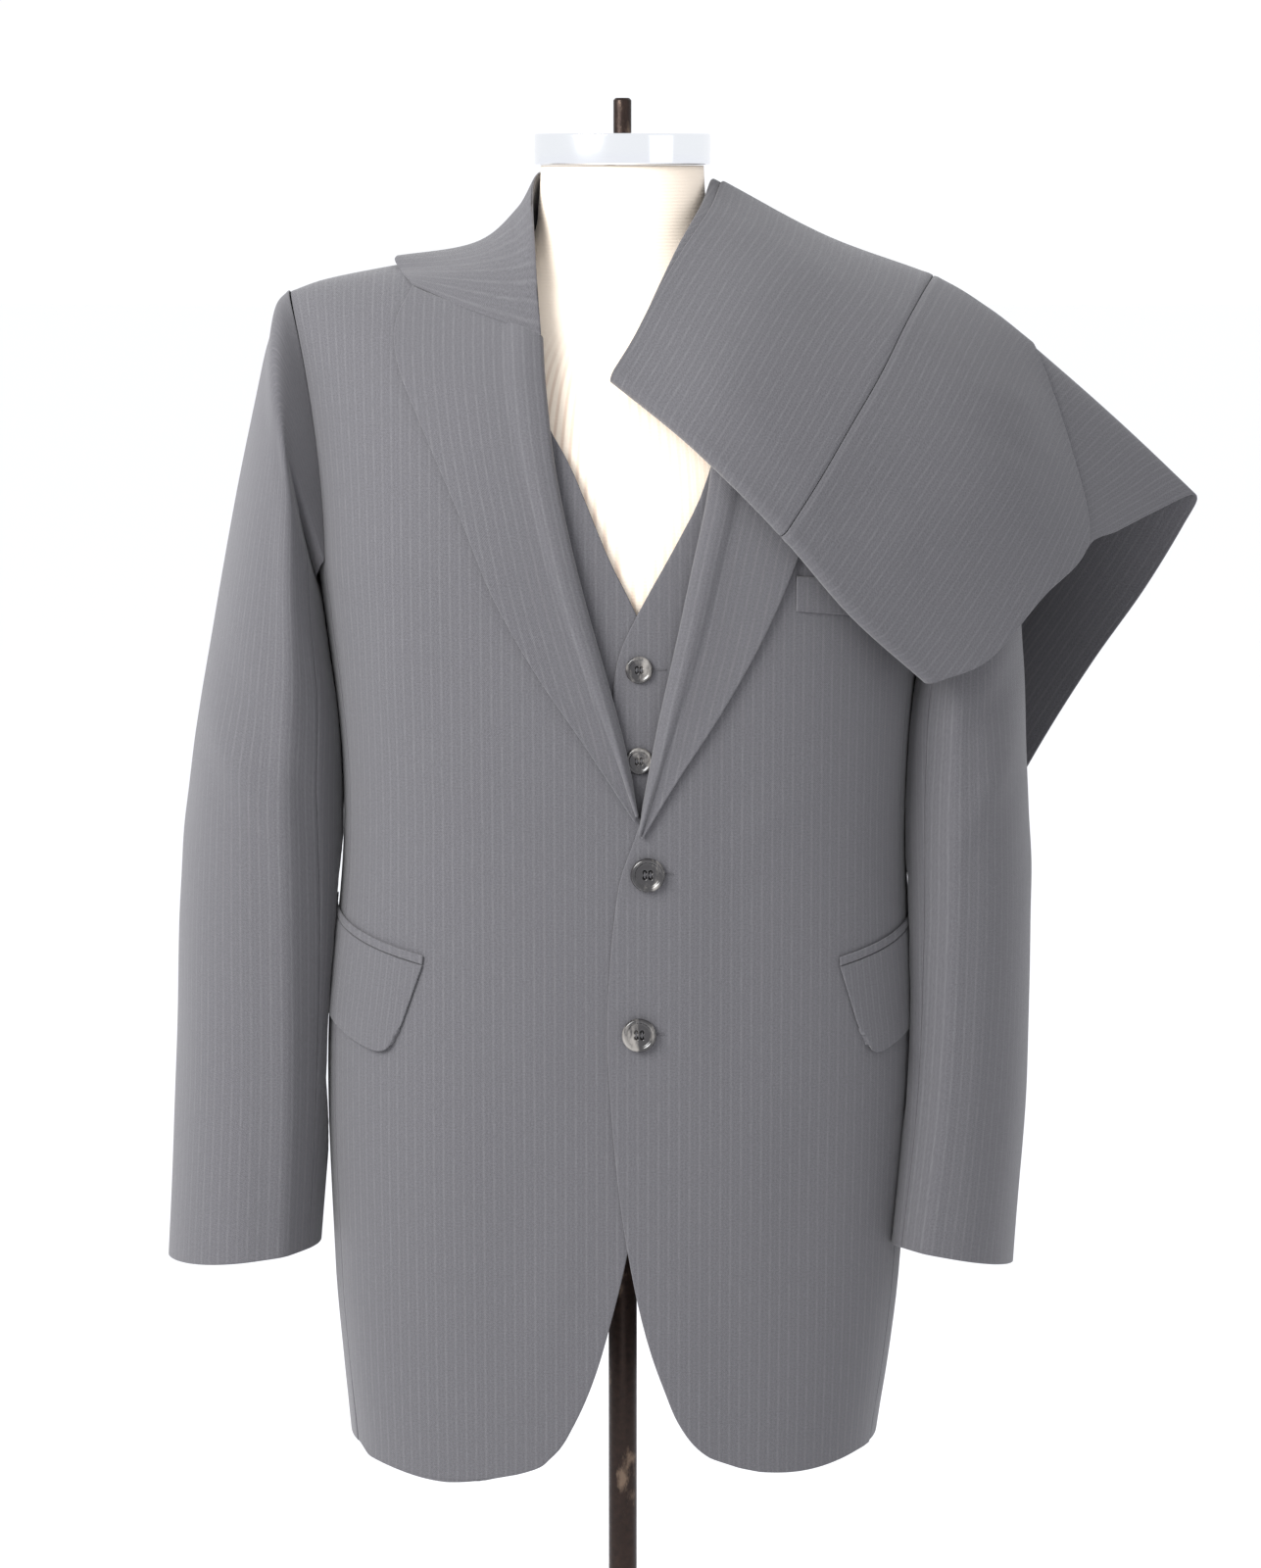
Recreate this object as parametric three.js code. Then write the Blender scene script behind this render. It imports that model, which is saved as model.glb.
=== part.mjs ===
// A three-piece suit worn by a limbless dress form on a round iron stand.
// Jacket, waistcoat and trousers are thin walls worked out from the suit's own sizes.
// Millimetres, +Z up, the front faces -Y, and +X is the wearer's left.
// The origin is the middle of the base's flat underside.
import * as THREE from 'three';

// ---------------------------------------------------------------- driving sizes
const CLOTH = 1.5; // wall of a worn panel
const SEAM = 0.3; // gap left between two sewn pieces
const LIFT = 0.6; // gap under a piece that lies on a panel
const CHEST_LINE = 1290; // height where the armholes start
const RING_SQUARE = 2.7; // squareness of the body's level sections
const ARCH_SQUARE = 2.1; // squareness of the arch over the shoulder
const SEAM_REACH = 0.961; // share of the half width where the front and back panels end
const JACKET_HEM = 684;
const RIGHT_HEM_DROP = 5; // how much lower the right front hangs
const HEM_SAG = { deep: 6.5, from: 55, to: 185, high: 60 }; // the fronts hang lower between these
const VENT_TOP = 890;
const VENT_OPEN = 24; // how far each side of the centre vent hangs open at the hem
const VEST_DEPTH = 5.2; // how far the waistcoat lies inside the jacket's outside
const VEST_SHOULDER_DEPTH = 3.3; // the same, near the shoulder seam
const LEFT = 1; // the wearer's left is +X
const RIGHT = -1;

// Level sections of the jacket's outside, bottom to top.
const BODY = [
  { z: 640, half: 178, front: 119, back: 127, middle: -7 },
  { z: 690, half: 183, front: 122, back: 129, middle: -6 },
  { z: 740, half: 189, front: 124, back: 130, middle: -4.5 },
  { z: 800, half: 194.5, front: 126, back: 130, middle: -3.5 },
  { z: 960, half: 200.5, front: 130, back: 125, middle: -1 },
  { z: 1090, half: 191.5, front: 133, back: 108, middle: 1.5 },
  { z: 1165, half: 192.5, front: 138, back: 113, middle: 2 },
  { z: 1290, half: 205, front: 145, back: 128, middle: 0 },
  { z: 1320, half: 207, front: 145, back: 129, middle: 0 },
];

// The shoulder line of each side: height above the floor at a distance from the middle.
const SHOULDER = {
  [RIGHT]: [
    { x: 0, z: 1507 }, { x: 60, z: 1503 }, { x: 80, z: 1497 }, { x: 110, z: 1489.5 },
    { x: 150, z: 1482.5 }, { x: 200, z: 1472.5 }, { x: 224, z: 1464 },
  ],
  [LEFT]: [
    { x: 0, z: 1507 }, { x: 60, z: 1502 }, { x: 80, z: 1494 }, { x: 110, z: 1484 },
    { x: 150, z: 1472 }, { x: 200, z: 1459 }, { x: 224, z: 1450 },
  ],
};
const ARMHOLE_FOOT = 197; // the armhole's distance from the middle at the chest line
const ARMHOLE_FLARE = 25; // how much further out it is at the shoulder
const ARMHOLE_DIP = 16; // how far the side panel is scooped under the arm

// Edge of each jacket front, from hem to neck: distance of the edge from the middle.
const LEFT_EDGE = [
  { z: 685, x: 92 }, { z: 687, x: 77 }, { z: 694, x: 57 }, { z: 714, x: 39.5 }, { z: 742, x: 27.5 },
  { z: 775, x: 16.5 }, { z: 817, x: 7 }, { z: 875, x: -2 }, { z: 959, x: -9 }, { z: 1015, x: -9 },
  { z: 1085, x: -2 }, { z: 1112, x: 7 }, { z: 1152, x: 20 }, { z: 1196, x: 29 }, { z: 1241, x: 39 },
  { z: 1290, x: 50 }, { z: 1326, x: 57 }, { z: 1400, x: 66 }, { z: 1450, x: 68 }, { z: 1510, x: 75 },
];
const RIGHT_EDGE = [
  { z: 679, x: -118 }, { z: 682, x: -70 }, { z: 693, x: -48 }, { z: 715, x: -33 }, { z: 751, x: -18 },
  { z: 802, x: -4 }, { z: 833, x: 3 }, { z: 875, x: 11 }, { z: 960, x: 22 }, { z: 1000, x: 28 },
  { z: 1060, x: 32 }, { z: 1100, x: 31 }, { z: 1133, x: 9 }, { z: 1203, x: -11 }, { z: 1248, x: -24 },
  { z: 1292, x: -35 }, { z: 1333, x: -43 }, { z: 1403, x: -55 }, { z: 1450, x: -63 }, { z: 1510, x: -76 },
];
// Rows of a worn panel, as heights above and below the chest line; ARC is the length of
// the arch from the chest line up to the shoulder seam.
const ARC = 220;
const ARCH_ROWS = [30, 65, 98, 128, 154, 176, 194, 208, ARC];
const BODY_ROWS = [-525, -465, -405, -345, -290, -240, -195, -150, -100, -50, 0];
const JACKET_FRONT_ROWS = [-602, -595, -577, -552, ...BODY_ROWS, ...ARCH_ROWS];
const JACKET_BACK_ROWS = [-570, ...BODY_ROWS, ...ARCH_ROWS];
const WAIST_ROWS = [-290, -240, -195, -150, -100, -75, -50, -36, 0, ...ARCH_ROWS];
const VEST_FRONT_ROWS = [-348, -338, -318, ...WAIST_ROWS];
const VEST_BACK_ROWS = [-305, ...WAIST_ROWS];

const OVERLAP = { lift: 1.9, from: 36, to: 78 }; // the left front lies over the right one

// Lapels: the fold line and the outer edge, from the top button up to the notch.
const LAPEL_ROLL = { high: 2.2, share: 0.25 }; // the cloth stands up where it turns over
const LAPEL_EDGE_LIFT = 1.2;
const LAPEL_GRID = { across: 6, along: 11, crowd: 1.4 };
const LAPEL = {
  [RIGHT]: [
    { foldX: 10, foldZ: 1131, edgeX: 8, edgeZ: 1127 }, { foldX: -1, foldZ: 1178, edgeX: -26, edgeZ: 1180 },
    { foldX: -13, foldZ: 1222, edgeX: -54, edgeZ: 1222 }, { foldX: -26, foldZ: 1268, edgeX: -82, edgeZ: 1272 },
    { foldX: -37, foldZ: 1313, edgeX: -104, edgeZ: 1326 }, { foldX: -46, foldZ: 1358, edgeX: -126, edgeZ: 1376 },
    { foldX: -51, foldZ: 1398, edgeX: -144, edgeZ: 1418 },
    { foldX: -53, foldZ: 1420, edgeX: -147, edgeZ: 1445 },
    { foldX: -54, foldZ: 1440, edgeX: -137, edgeZ: 1467.5 },
  ],
  [LEFT]: [
    { foldX: 11, foldZ: 1119, edgeX: 13, edgeZ: 1116 }, { foldX: 18, foldZ: 1152, edgeX: 36, edgeZ: 1155 },
    { foldX: 27, foldZ: 1196, edgeX: 66, edgeZ: 1202 }, { foldX: 38, foldZ: 1245, edgeX: 92, edgeZ: 1250 },
    { foldX: 48, foldZ: 1293, edgeX: 113, edgeZ: 1300 }, { foldX: 58, foldZ: 1341, edgeX: 130, edgeZ: 1350 },
    { foldX: 63, foldZ: 1385, edgeX: 144, edgeZ: 1397 }, { foldX: 66, foldZ: 1415, edgeX: 148, edgeZ: 1436 },
    { foldX: 67, foldZ: 1434, edgeX: 141, edgeZ: 1464 },
  ],
};

// Collar, one side: from the notch round to the centre back. Each station runs from
// the foot of the stand, over the fold, down the fall to the outer edge. press is how
// far the trousers' weight pushes that station down on the left side.
const COLLAR_ROWS = [0, 0.18, 0.235, 0.29, 0.38, 0.5, 0.65, 0.82, 1]; // crowded at the fold
const COLLAR_PRESS = { soft: 30, top: 1540, bottom: 1492 };
const COLLAR = [
  { press: 0, foot: [56, -104.5, 1442], fold: [53.5, -106.5, 1445.5], neck: [76.6, -98, 1452.5],
    fall: [107.7, -77.8, 1462.8], edge: [137.7, -51, 1475.7] },
  { press: 0.3, foot: [60, -64, 1477], fold: [57, -66, 1490], neck: [73, -61, 1486],
    fall: [102.6, -50, 1483], edge: [147.5, -30.8, 1481] },
  { press: 0.5, foot: [62.5, -6, 1503], fold: [58.5, -4, 1538], neck: [71, -3, 1519],
    fall: [98, -2, 1497], edge: [149, 0, 1488] },
  { press: 0.3, foot: [44.5, 50, 1493], fold: [42, 44, 1543], neck: [52, 54, 1522],
    fall: [73, 58, 1499], edge: [107, 67, 1471] },
  { press: 0, foot: [0, 70, 1476.5], fold: [0, 63, 1546], neck: [0, 72, 1522],
    fall: [0, 78, 1494], edge: [0, 88, 1461] },
];

// Sleeve rings from the armhole down: middle, tilt out of level, half sizes and turn.
const SLEEVE = {
  [RIGHT]: [
    { x: 219.5, y: -2, z: 1362, tilt: 82, half: 90, deep: 72, turn: 0 },
    { x: 221.5, y: -1, z: 1328, tilt: 75, half: 80, deep: 79, turn: 2 },
    { x: 227.5, y: 0, z: 1273, tilt: 62, half: 66, deep: 82, turn: 5 },
    { x: 233, y: -1, z: 1213, tilt: 40, half: 53.5, deep: 80, turn: 9 },
    { x: 240.3, y: -4, z: 1140, tilt: 21, half: 52.2, deep: 76, turn: 12 },
    { x: 246.3, y: -8, z: 1042, tilt: 8, half: 53.3, deep: 70, turn: 18 },
    { x: 251.7, y: -14, z: 930, tilt: 3, half: 49.7, deep: 63, turn: 24 },
    { x: 259.7, y: -22, z: 813, tilt: -5, half: 48.6, deep: 58, turn: 30 },
  ],
  [LEFT]: [
    { x: 220, y: -2, z: 1352, tilt: 83, half: 85, deep: 70, turn: 0 },
    { x: 225, y: -1, z: 1320, tilt: 76, half: 74, deep: 75, turn: 1 },
    { x: 228, y: 0, z: 1268, tilt: 62, half: 60, deep: 78, turn: 3 },
    { x: 229.5, y: -1, z: 1210, tilt: 40, half: 51, deep: 77, turn: 6 },
    { x: 231.3, y: -6, z: 1140, tilt: 21, half: 44.2, deep: 74, turn: 9 },
    { x: 234, y: -14, z: 1042, tilt: 8, half: 42, deep: 69, turn: 12 },
    { x: 232.3, y: -24, z: 930, tilt: 3, half: 40.3, deep: 62, turn: 16 },
    { x: 224.1, y: -34, z: 813, tilt: -8, half: 40.1, deep: 58, turn: 20 },
  ],
};
const CUFF_RISE = { [RIGHT]: 6, [LEFT]: 12 }; // degrees the cuff is higher in front
const SLEEVE_SEAMS = { front: 116, back: 285 }; // degrees round the sleeve from its top line
const SLEEVE_CREASE = { high: 0.05, wide: 11 }; // the pressed front edge stands out of the oval
const SLEEVE_SQUARE = 0.95; // roundness of a sleeve's section
const SLEEVE_HEAD_GAP = 0.7; // between the sleeve head and the armhole
const SLEEVE_SEAM_GAP = 0.15; // degrees left at each side of a sleeve's seam
const SLEEVE_GRID = { top: 11, under: 9, along: 11 };
// Air between a sleeve and the side of the body, with more at the heights of the flaps.
const SLEEVE_CLEAR = { air: 2.4, flaps: 4.8, bottom: 900, low: 940, high: 1065, top: 1100 };

// Waistcoat edges, from hem to neck.
const VEST_LEFT_EDGE = [
  { z: 940, x: 30 }, { z: 950, x: 12 }, { z: 972, x: -4 }, { z: 1000, x: -6 }, { z: 1207, x: -6 },
  { z: 1235, x: -2 }, { z: 1258, x: 8 }, { z: 1275, x: 17 }, { z: 1304, x: 33 }, { z: 1342, x: 52 },
  { z: 1400, x: 68 }, { z: 1450, x: 74 }, { z: 1510, x: 80 },
];
const VEST_RIGHT_EDGE = [
  { z: 940, x: -30 }, { z: 950, x: -6 }, { z: 972, x: 20 }, { z: 1000, x: 27 }, { z: 1200, x: 27 },
  { z: 1230, x: 21 }, { z: 1262, x: 9 }, { z: 1297, x: -8 }, { z: 1329, x: -21 }, { z: 1360, x: -34 },
  { z: 1389, x: -50 }, { z: 1450, x: -72 }, { z: 1510, x: -80 },
];
const VEST_ARMHOLE = [
  { h: -400, reach: 1 }, { h: -62, reach: 1 }, { h: -36, reach: 0.94 }, { h: 0, reach: 0.86 },
  { h: 60, reach: 0.79 }, { h: 130, reach: 0.75 }, { h: 220, reach: 0.74 },
];
const VEST_SIDE = { top: -36, bottom: -75 }; // rows where the back comes round to the side seam
const VEST_LAP = { lift: 2, from: 30, to: 60 }; // the right front lies under the left one
const VEST_BACK_SHARE = 0.68; // share of the back's columns that lie behind, not on the flanks
const VEST_BUTTONS = { x: 11, top: 1226, pitch: 60, count: 5 };
const VEST_BUTTON = { radius: 8.8, thick: 2.6, sides: 12 };
const JACKET_BUTTONS = [{ x: 16.5, z: 1092 }, { x: 11, z: 985 }];
const JACKET_BUTTON = { radius: 11.2, thick: 4, sides: 18 };

// Pocket flaps: where the top line starts at the front and how it runs round the side.
const FLAP = {
  [RIGHT]: { start: 131, z: 1028, rise: 24, depth: 64 },
  [LEFT]: { start: 143, z: 1026, rise: 22, depth: 64 },
};
const FLAP_END = 8; // how far in front of the side's widest line a flap ends
const FLAP_ROWS = [0, 0.35, 0.65, 0.85, 1];
const FLAP_CORNER = { high: 7, wide: 0.16, from: 0.7 }; // the rounded front corner
const FLAP_SWEEP = 17; // how far the front edge slants back
const JET = { high: 6, thick: 1.2 };
const BREAST_WELT = { from: 112, to: 178, z: 1287, fall: 0.12, high: 23 };

// The limbless form: level sections from its underside to the top of the neck.
const FORM = [
  { z: 832, half: 150, front: 94, back: 92, square: 2.3 },
  { z: 836, half: 163, front: 106, back: 104, square: 2.3 },
  { z: 850, half: 169, front: 112, back: 110, square: 2.3 },
  { z: 900, half: 174, front: 116, back: 113, square: 2.4 },
  { z: 960, half: 174, front: 117, back: 109, square: 2.4 },
  { z: 1080, half: 166, front: 117, back: 94, square: 2.4 },
  { z: 1165, half: 170, front: 124, back: 99, square: 2.4 },
  { z: 1230, half: 179, front: 130, back: 108, square: 2.4 },
  { z: 1290, half: 187, front: 132, back: 114, square: 2.4 },
  { z: 1350, half: 190, front: 126, back: 109, square: 2.3 },
  { z: 1400, half: 193, front: 109, back: 94, square: 2.1 },
  { z: 1428, half: 196, front: 95, back: 82, square: 1.85 },
  { z: 1448, half: 190, front: 84, back: 72, square: 1.6 },
  { z: 1462, half: 152, front: 76, back: 65, square: 1.5 },
  { z: 1474, half: 108, front: 68, back: 57, square: 1.6 },
  { z: 1486, half: 76, front: 62.5, back: 54.5, square: 1.85 },
  { z: 1502, half: 60, front: 58, back: 55, square: 2 },
  { z: 1525, half: 56, front: 55.5, back: 55, square: 2 },
  { z: 1548, half: 54.5, front: 54.5, back: 54.5, square: 2 },
];

// Stand and neck fittings.
const BASE_RADIUS = 215;
const BASE = { rim: 5, dome: 26, domeFoot: 12, neck: 4 };
const HUB_RADIUS = 27;
const HUB_TOP = 84;
const POLE_RADIUS = 9.8;
const FLANGE = { radius: 46, thick: 12 };
const CAP = { radius: 58.5, bottom: 1548.6, top: 1569, round: 3 };
const FINIAL = { radius: 6, top: 1592.5 };

// The trousers, folded in half at the knee and laid over the left shoulder.
// Each row is a section across the leg, from the fold at the front, over the
// shoulder, to the waist behind. Columns: front crease, seam in the middle, back crease.
const TROUSERS = [
  { crease: [-5, -129, 1420], inner: [54, -156.5, 1372], seam: [107, -157, 1320],
    outer: [156, -139, 1263], back: [206, -112, 1215] },
  { crease: [7, -118, 1439], inner: [68, -144, 1405], seam: [125, -148, 1347], outer: [185, -127, 1286],
    back: [240, -100, 1228] },
  { crease: [21, -102, 1465], inner: [84, -121, 1439], seam: [146, -130, 1381], outer: [214, -112, 1322],
    back: [277, -76, 1266] },
  { crease: [39, -76, 1494], inner: [101, -89, 1471], seam: [167, -105, 1414], outer: [243, -92, 1362],
    back: [311, -40, 1300] },
  { crease: [58, -42, 1521], inner: [119, -50, 1493], seam: [188, -66, 1450], outer: [250, -58, 1410],
    back: [300, -24, 1362] },
  { crease: [67, 2, 1538], inner: [136, 1, 1502], seam: [208, 0, 1475], outer: [246, 0, 1453],
    back: [277, 2, 1429] },
  { crease: [72, 58, 1519], inner: [137, 56, 1485], seam: [206, 54, 1456], outer: [246, 54, 1431],
    back: [282, 48, 1402] },
  { crease: [60, 108, 1447], inner: [128, 105, 1420], seam: [197, 96, 1390], outer: [246, 94, 1364],
    back: [298, 86, 1334] },
  { crease: [36, 139, 1355], inner: [107, 137, 1326], seam: [178, 125, 1296], outer: [235, 117, 1280],
    back: [292, 108, 1258] },
  { crease: [10, 146, 1260], inner: [82, 147, 1230], seam: [154, 137, 1198], outer: [211, 125, 1182],
    back: [262, 116, 1172] },
  { crease: [-14, 140, 1166], inner: [60, 143, 1136], seam: [133, 134, 1104], outer: [190, 123, 1089],
    back: [238, 114, 1080] },
];
// Outer edge of the second leg, which shows beyond the first from the fourth row on.
const SECOND_LEG = [
  { row: 3, x: 319, y: -30, z: 1299 }, { row: 4, x: 366, y: 16, z: 1317 },
  { row: 5, x: 394, y: 38, z: 1326 },
  { row: 6, x: 386, y: 50, z: 1303 }, { row: 7, x: 362, y: 68, z: 1257 },
  { row: 8, x: 330, y: 84, z: 1206 },
  { row: 9, x: 298, y: 98, z: 1150 }, { row: 10, x: 262, y: 106, z: 1082 },
];
const TROUSER = { cloth: 1.2, nose: 6.4, turnUnder: 26, second: 1.8, gap: 0.5, stack: 10.8, thin: 7.2,
  sliver: 6.6 };
const LEG_ACROSS = 10;
const LEG_ALONG = 18;
const SEAM_SHARE = 0.0006; // half the gap at the side seam, as a share of the leg's width
const STEP_IN = { front: [2, 3.8], back: [7.2, 9] }; // how the hidden layers' edges are stepped in
const OUTER_FLAP = { from: 2.7, to: 3.3, tuck: 0.5 }; // rows where the second leg comes out
const WAISTBAND = { high: 38, thick: 2 };

// ---------------------------------------------------------------- materials
const finish = (color, roughness, metalness = 0) => new THREE.MeshStandardMaterial({ color, roughness,
  metalness });
const suiting = () => finish(0x73756f, 0.85);
const horn = () => finish(0x3c3a36, 0.35);
const ribbedKnit = () => finish(0xe6dccb, 0.9);
const chrome = () => finish(0xd8dadc, 0.15, 1);
const bronzedIron = () => finish(0x3a2f2a, 0.45, 0.9);

const suit = new THREE.Group();

function add(name, geometry, material) {
  const mesh = new THREE.Mesh(geometry, material);
  mesh.name = name;
  suit.add(mesh);
}

// ---------------------------------------------------------------- small maths
const V = (x, y, z) => new THREE.Vector3(x, y, z);
const mix = (a, b, t) => a + (b - a) * t;
const clamp = (v, lo, hi) => Math.min(hi, Math.max(lo, v));
const degrees = (angle) => (angle * Math.PI) / 180;
const power = (v, p) => Math.sign(v) * Math.abs(v) ** p;

function ease(from, to, v) {
  const t = clamp((v - from) / (to - from), 0, 1);
  return t * t * (3 - 2 * t);
}

// A smooth value through a table's rows: key names the column that is looked up.
function lookup(table, key, at, column) {
  let i = 0;
  while (i < table.length - 2 && at > table[i + 1][key]) i += 1;
  const [a, b] = [table[i], table[i + 1]];
  const before = table[Math.max(0, i - 1)];
  const after = table[Math.min(table.length - 1, i + 2)];
  const span = b[key] - a[key];
  const t = clamp((at - a[key]) / span, 0, 1);
  const slopeA = ((b[column] - before[column]) / (b[key] - before[key])) * span;
  const slopeB = ((after[column] - a[column]) / (after[key] - a[key])) * span;
  const [t2, t3] = [t * t, t * t * t];
  return (2 * t3 - 3 * t2 + 1) * a[column] + (t3 - 2 * t2 + t) * slopeA
    + (-2 * t3 + 3 * t2) * b[column] + (t3 - t2) * slopeB;
}

// A smooth point through evenly spaced points; at runs from 0 to the last index.
function through(points, at) {
  const last = points.length - 1;
  const i = clamp(Math.floor(at), 0, last - 1);
  const t = at - i;
  const [a, b] = [points[i], points[i + 1]];
  const before = i > 0 ? points[i - 1] : a.clone().multiplyScalar(2).sub(b);
  const after = i + 2 <= last ? points[i + 2] : b.clone().multiplyScalar(2).sub(a);
  const value = (k) => {
    const [p, q, r, s] = [before[k], a[k], b[k], after[k]];
    const bend = 2 * p - 5 * q + 4 * r - s;
    const swing = 3 * q - p - 3 * r + s;
    return 0.5 * (2 * q + (r - p) * t + bend * t ** 2 + swing * t ** 3);
  };
  return V(value('x'), value('y'), value('z'));
}

// ---------------------------------------------------------------- walls from grids
// The two faces and four edges of a wall. Both grids are [across][along].
function wall(outer, inner, closedRound = false) {
  const across = outer.length;
  const along = outer[0].length;
  const positions = [...outer.flat(), ...inner.flat()].flatMap((p) => [p.x, p.y, p.z]);
  const faces = [];
  const at = (i, j, side) => side * across * along + (i % across) * along + j;
  const quad = (a, b, c, d) => faces.push(a, b, c, a, c, d);
  const columns = closedRound ? across : across - 1;
  for (let i = 0; i < columns; i += 1) {
    for (let j = 0; j < along - 1; j += 1) {
      quad(at(i, j, 0), at(i + 1, j, 0), at(i + 1, j + 1, 0), at(i, j + 1, 0));
      quad(at(i, j, 1), at(i, j + 1, 1), at(i + 1, j + 1, 1), at(i + 1, j, 1));
    }
    quad(at(i, 0, 0), at(i, 0, 1), at(i + 1, 0, 1), at(i + 1, 0, 0));
    quad(at(i, along - 1, 0), at(i + 1, along - 1, 0), at(i + 1, along - 1, 1), at(i, along - 1, 1));
  }
  if (!closedRound) {
    for (let j = 0; j < along - 1; j += 1) {
      quad(at(0, j, 0), at(0, j + 1, 0), at(0, j + 1, 1), at(0, j, 1));
      quad(at(across - 1, j, 0), at(across - 1, j, 1), at(across - 1, j + 1, 1), at(across - 1, j + 1, 0));
    }
  }
  const geometry = new THREE.BufferGeometry();
  geometry.setAttribute('position', new THREE.Float32BufferAttribute(positions, 3));
  geometry.setIndex(faces);
  return geometry;
}

// A solid of stacked rings. Each end is closed by a strip that starts at the ring's
// first point and joins the points before it to the points after it.
function stack(rings) {
  const round = rings[0].length;
  const faces = [];
  for (let k = 0; k < rings.length - 1; k += 1) {
    for (let i = 0; i < round; i += 1) {
      const [a, b] = [k * round + i, k * round + ((i + 1) % round)];
      faces.push(a, b, b + round, a, b + round, a + round);
    }
  }
  const end = (first, bottom) => {
    const put = (a, b, c) => faces.push(...(bottom ? [first + a, first + c, first + b] : [first + a,
      first + b, first + c]));
    for (let k = 0; k < round / 2; k += 1) {
      const [after, before] = [k + 1, round - k - 1];
      if (after < before) put(k, after, before);
      if (k > 0) put(k, before, before + 1);
    }
  };
  end(0, true);
  end((rings.length - 1) * round, false);
  const geometry = new THREE.BufferGeometry();
  geometry.setAttribute('position', new THREE.Float32BufferAttribute(rings.flat().flatMap((p) => [p.x,
    p.y, p.z]), 3));
  geometry.setIndex(faces);
  return geometry;
}

// Outward normal of a surface at (u, v), from its own slopes.
function normalAt(surface, u, v, turn, low = 0, high = 1) {
  const step = 0.002;
  const stepV = step * (high - low);
  const [u0, u1] = [clamp(u - step, 0, 1), clamp(u + step, 0, 1)];
  const [v0, v1] = [clamp(v - stepV, low, high), clamp(v + stepV, low, high)];
  const du = surface(u1, v).sub(surface(u0, v));
  const dv = surface(u, v1).sub(surface(u, v0));
  return du.cross(dv).normalize().multiplyScalar(turn);
}

// A sheet of cloth on a surface. turn is 1 where across x along points outwards.
function sheet(surface, { across, rows, thick = CLOTH, lift = () => 0, turn = 1 }) {
  const outer = [];
  const inner = [];
  for (let i = 0; i <= across; i += 1) {
    const u = i / across;
    const normals = rows.map((v) => normalAt(surface, u, v, turn, rows[0], rows.at(-1)));
    outer.push(rows.map((v, j) => surface(u, v).addScaledVector(normals[j], lift(u, v))));
    inner.push(rows.map((v, j) => surface(u, v).addScaledVector(normals[j], lift(u, v) - thick)));
  }
  return turn > 0 ? wall(outer, inner) : wall(inner, outer);
}

const evenly = (count) => Array.from({ length: count + 1 }, (_, i) => i / count);

// ---------------------------------------------------------------- the suit's outside
const body = (column, z) => lookup(BODY, 'z', z, column);
const shoulderHeight = (side, x) => lookup(SHOULDER[side], 'x', Math.abs(x), 'z');
const armholeReach = (rise) => ARMHOLE_FOOT + ARMHOLE_FLARE * rise ** 1.8;

// Share of the full depth that is left at a share of the half width.
const roundOff = (share, square) => Math.max(0, 1 - Math.abs(share) ** square) ** (1 / square);

// A point of a front or back panel. reach: 0 in the middle, 1 at the armhole or side
// seam, less than 0 past the middle. h: a row's height above or below the chest line.
function panelPoint(side, face, reach, h) {
  const depth = face < 0 ? 'front' : 'back';
  const round = roundOff(reach * SEAM_REACH, RING_SQUARE);
  if (h <= 0) {
    const z = CHEST_LINE + h;
    const x = body('middle', z) + side * reach * SEAM_REACH * body('half', z);
    return V(x, face * body(depth, z) * round, z);
  }
  const angle = (Math.min(1, h / ARC) * Math.PI) / 2;
  const rise = Math.sin(angle) ** (2 / ARCH_SQUARE);
  const left = Math.cos(angle) ** (2 / ARCH_SQUARE);
  const x = side * reach * armholeReach(rise);
  const z = mix(CHEST_LINE, shoulderHeight(side, x), rise);
  return V(x, face * (SEAM / 2 + body(depth, CHEST_LINE) * round * left), z);
}

// The reach that puts a panel point at x, at a height over or under the chest line.
function reachAt(side, x, h) {
  if (h <= 0) {
    const z = CHEST_LINE + h;
    return (side * (x - body('middle', z))) / (SEAM_REACH * body('half', z));
  }
  const rise = Math.sin((Math.min(1, h / ARC) * Math.PI) / 2) ** (2 / ARCH_SQUARE);
  return (side * x) / armholeReach(rise);
}

// Height over the floor of the arch above x, for looking up an edge in its table.
function heightAt(side, x, h) {
  if (h <= 0) return CHEST_LINE + h;
  const rise = Math.sin((Math.min(1, h / ARC) * Math.PI) / 2) ** (2 / ARCH_SQUARE);
  return mix(CHEST_LINE, shoulderHeight(side, x), rise);
}

// The front's surface straight behind (x, z), as a point and its outward normal.
function frontAt(x, z) {
  const side = x < 0 ? RIGHT : LEFT;
  const depthAt = (px, pz) => {
    if (pz <= CHEST_LINE) {
      const share = (px - body('middle', pz)) / body('half', pz);
      return body('front', pz) * roundOff(share, RING_SQUARE);
    }
    const rise = clamp((pz - CHEST_LINE) / (shoulderHeight(side, px) - CHEST_LINE), 0, 1);
    const share = (px / armholeReach(rise)) * SEAM_REACH;
    return body('front', CHEST_LINE) * roundOff(share, RING_SQUARE) * roundOff(rise, ARCH_SQUARE);
  };
  const step = 0.5;
  const y = depthAt(x, z);
  const slopeX = (depthAt(x + step, z) - depthAt(x - step, z)) / (2 * step);
  const slopeZ = (depthAt(x, z + step) - depthAt(x, z - step)) / (2 * step);
  return { point: V(x, -y, z), normal: V(-slopeX, -1, -slopeZ).normalize() };
}

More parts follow.
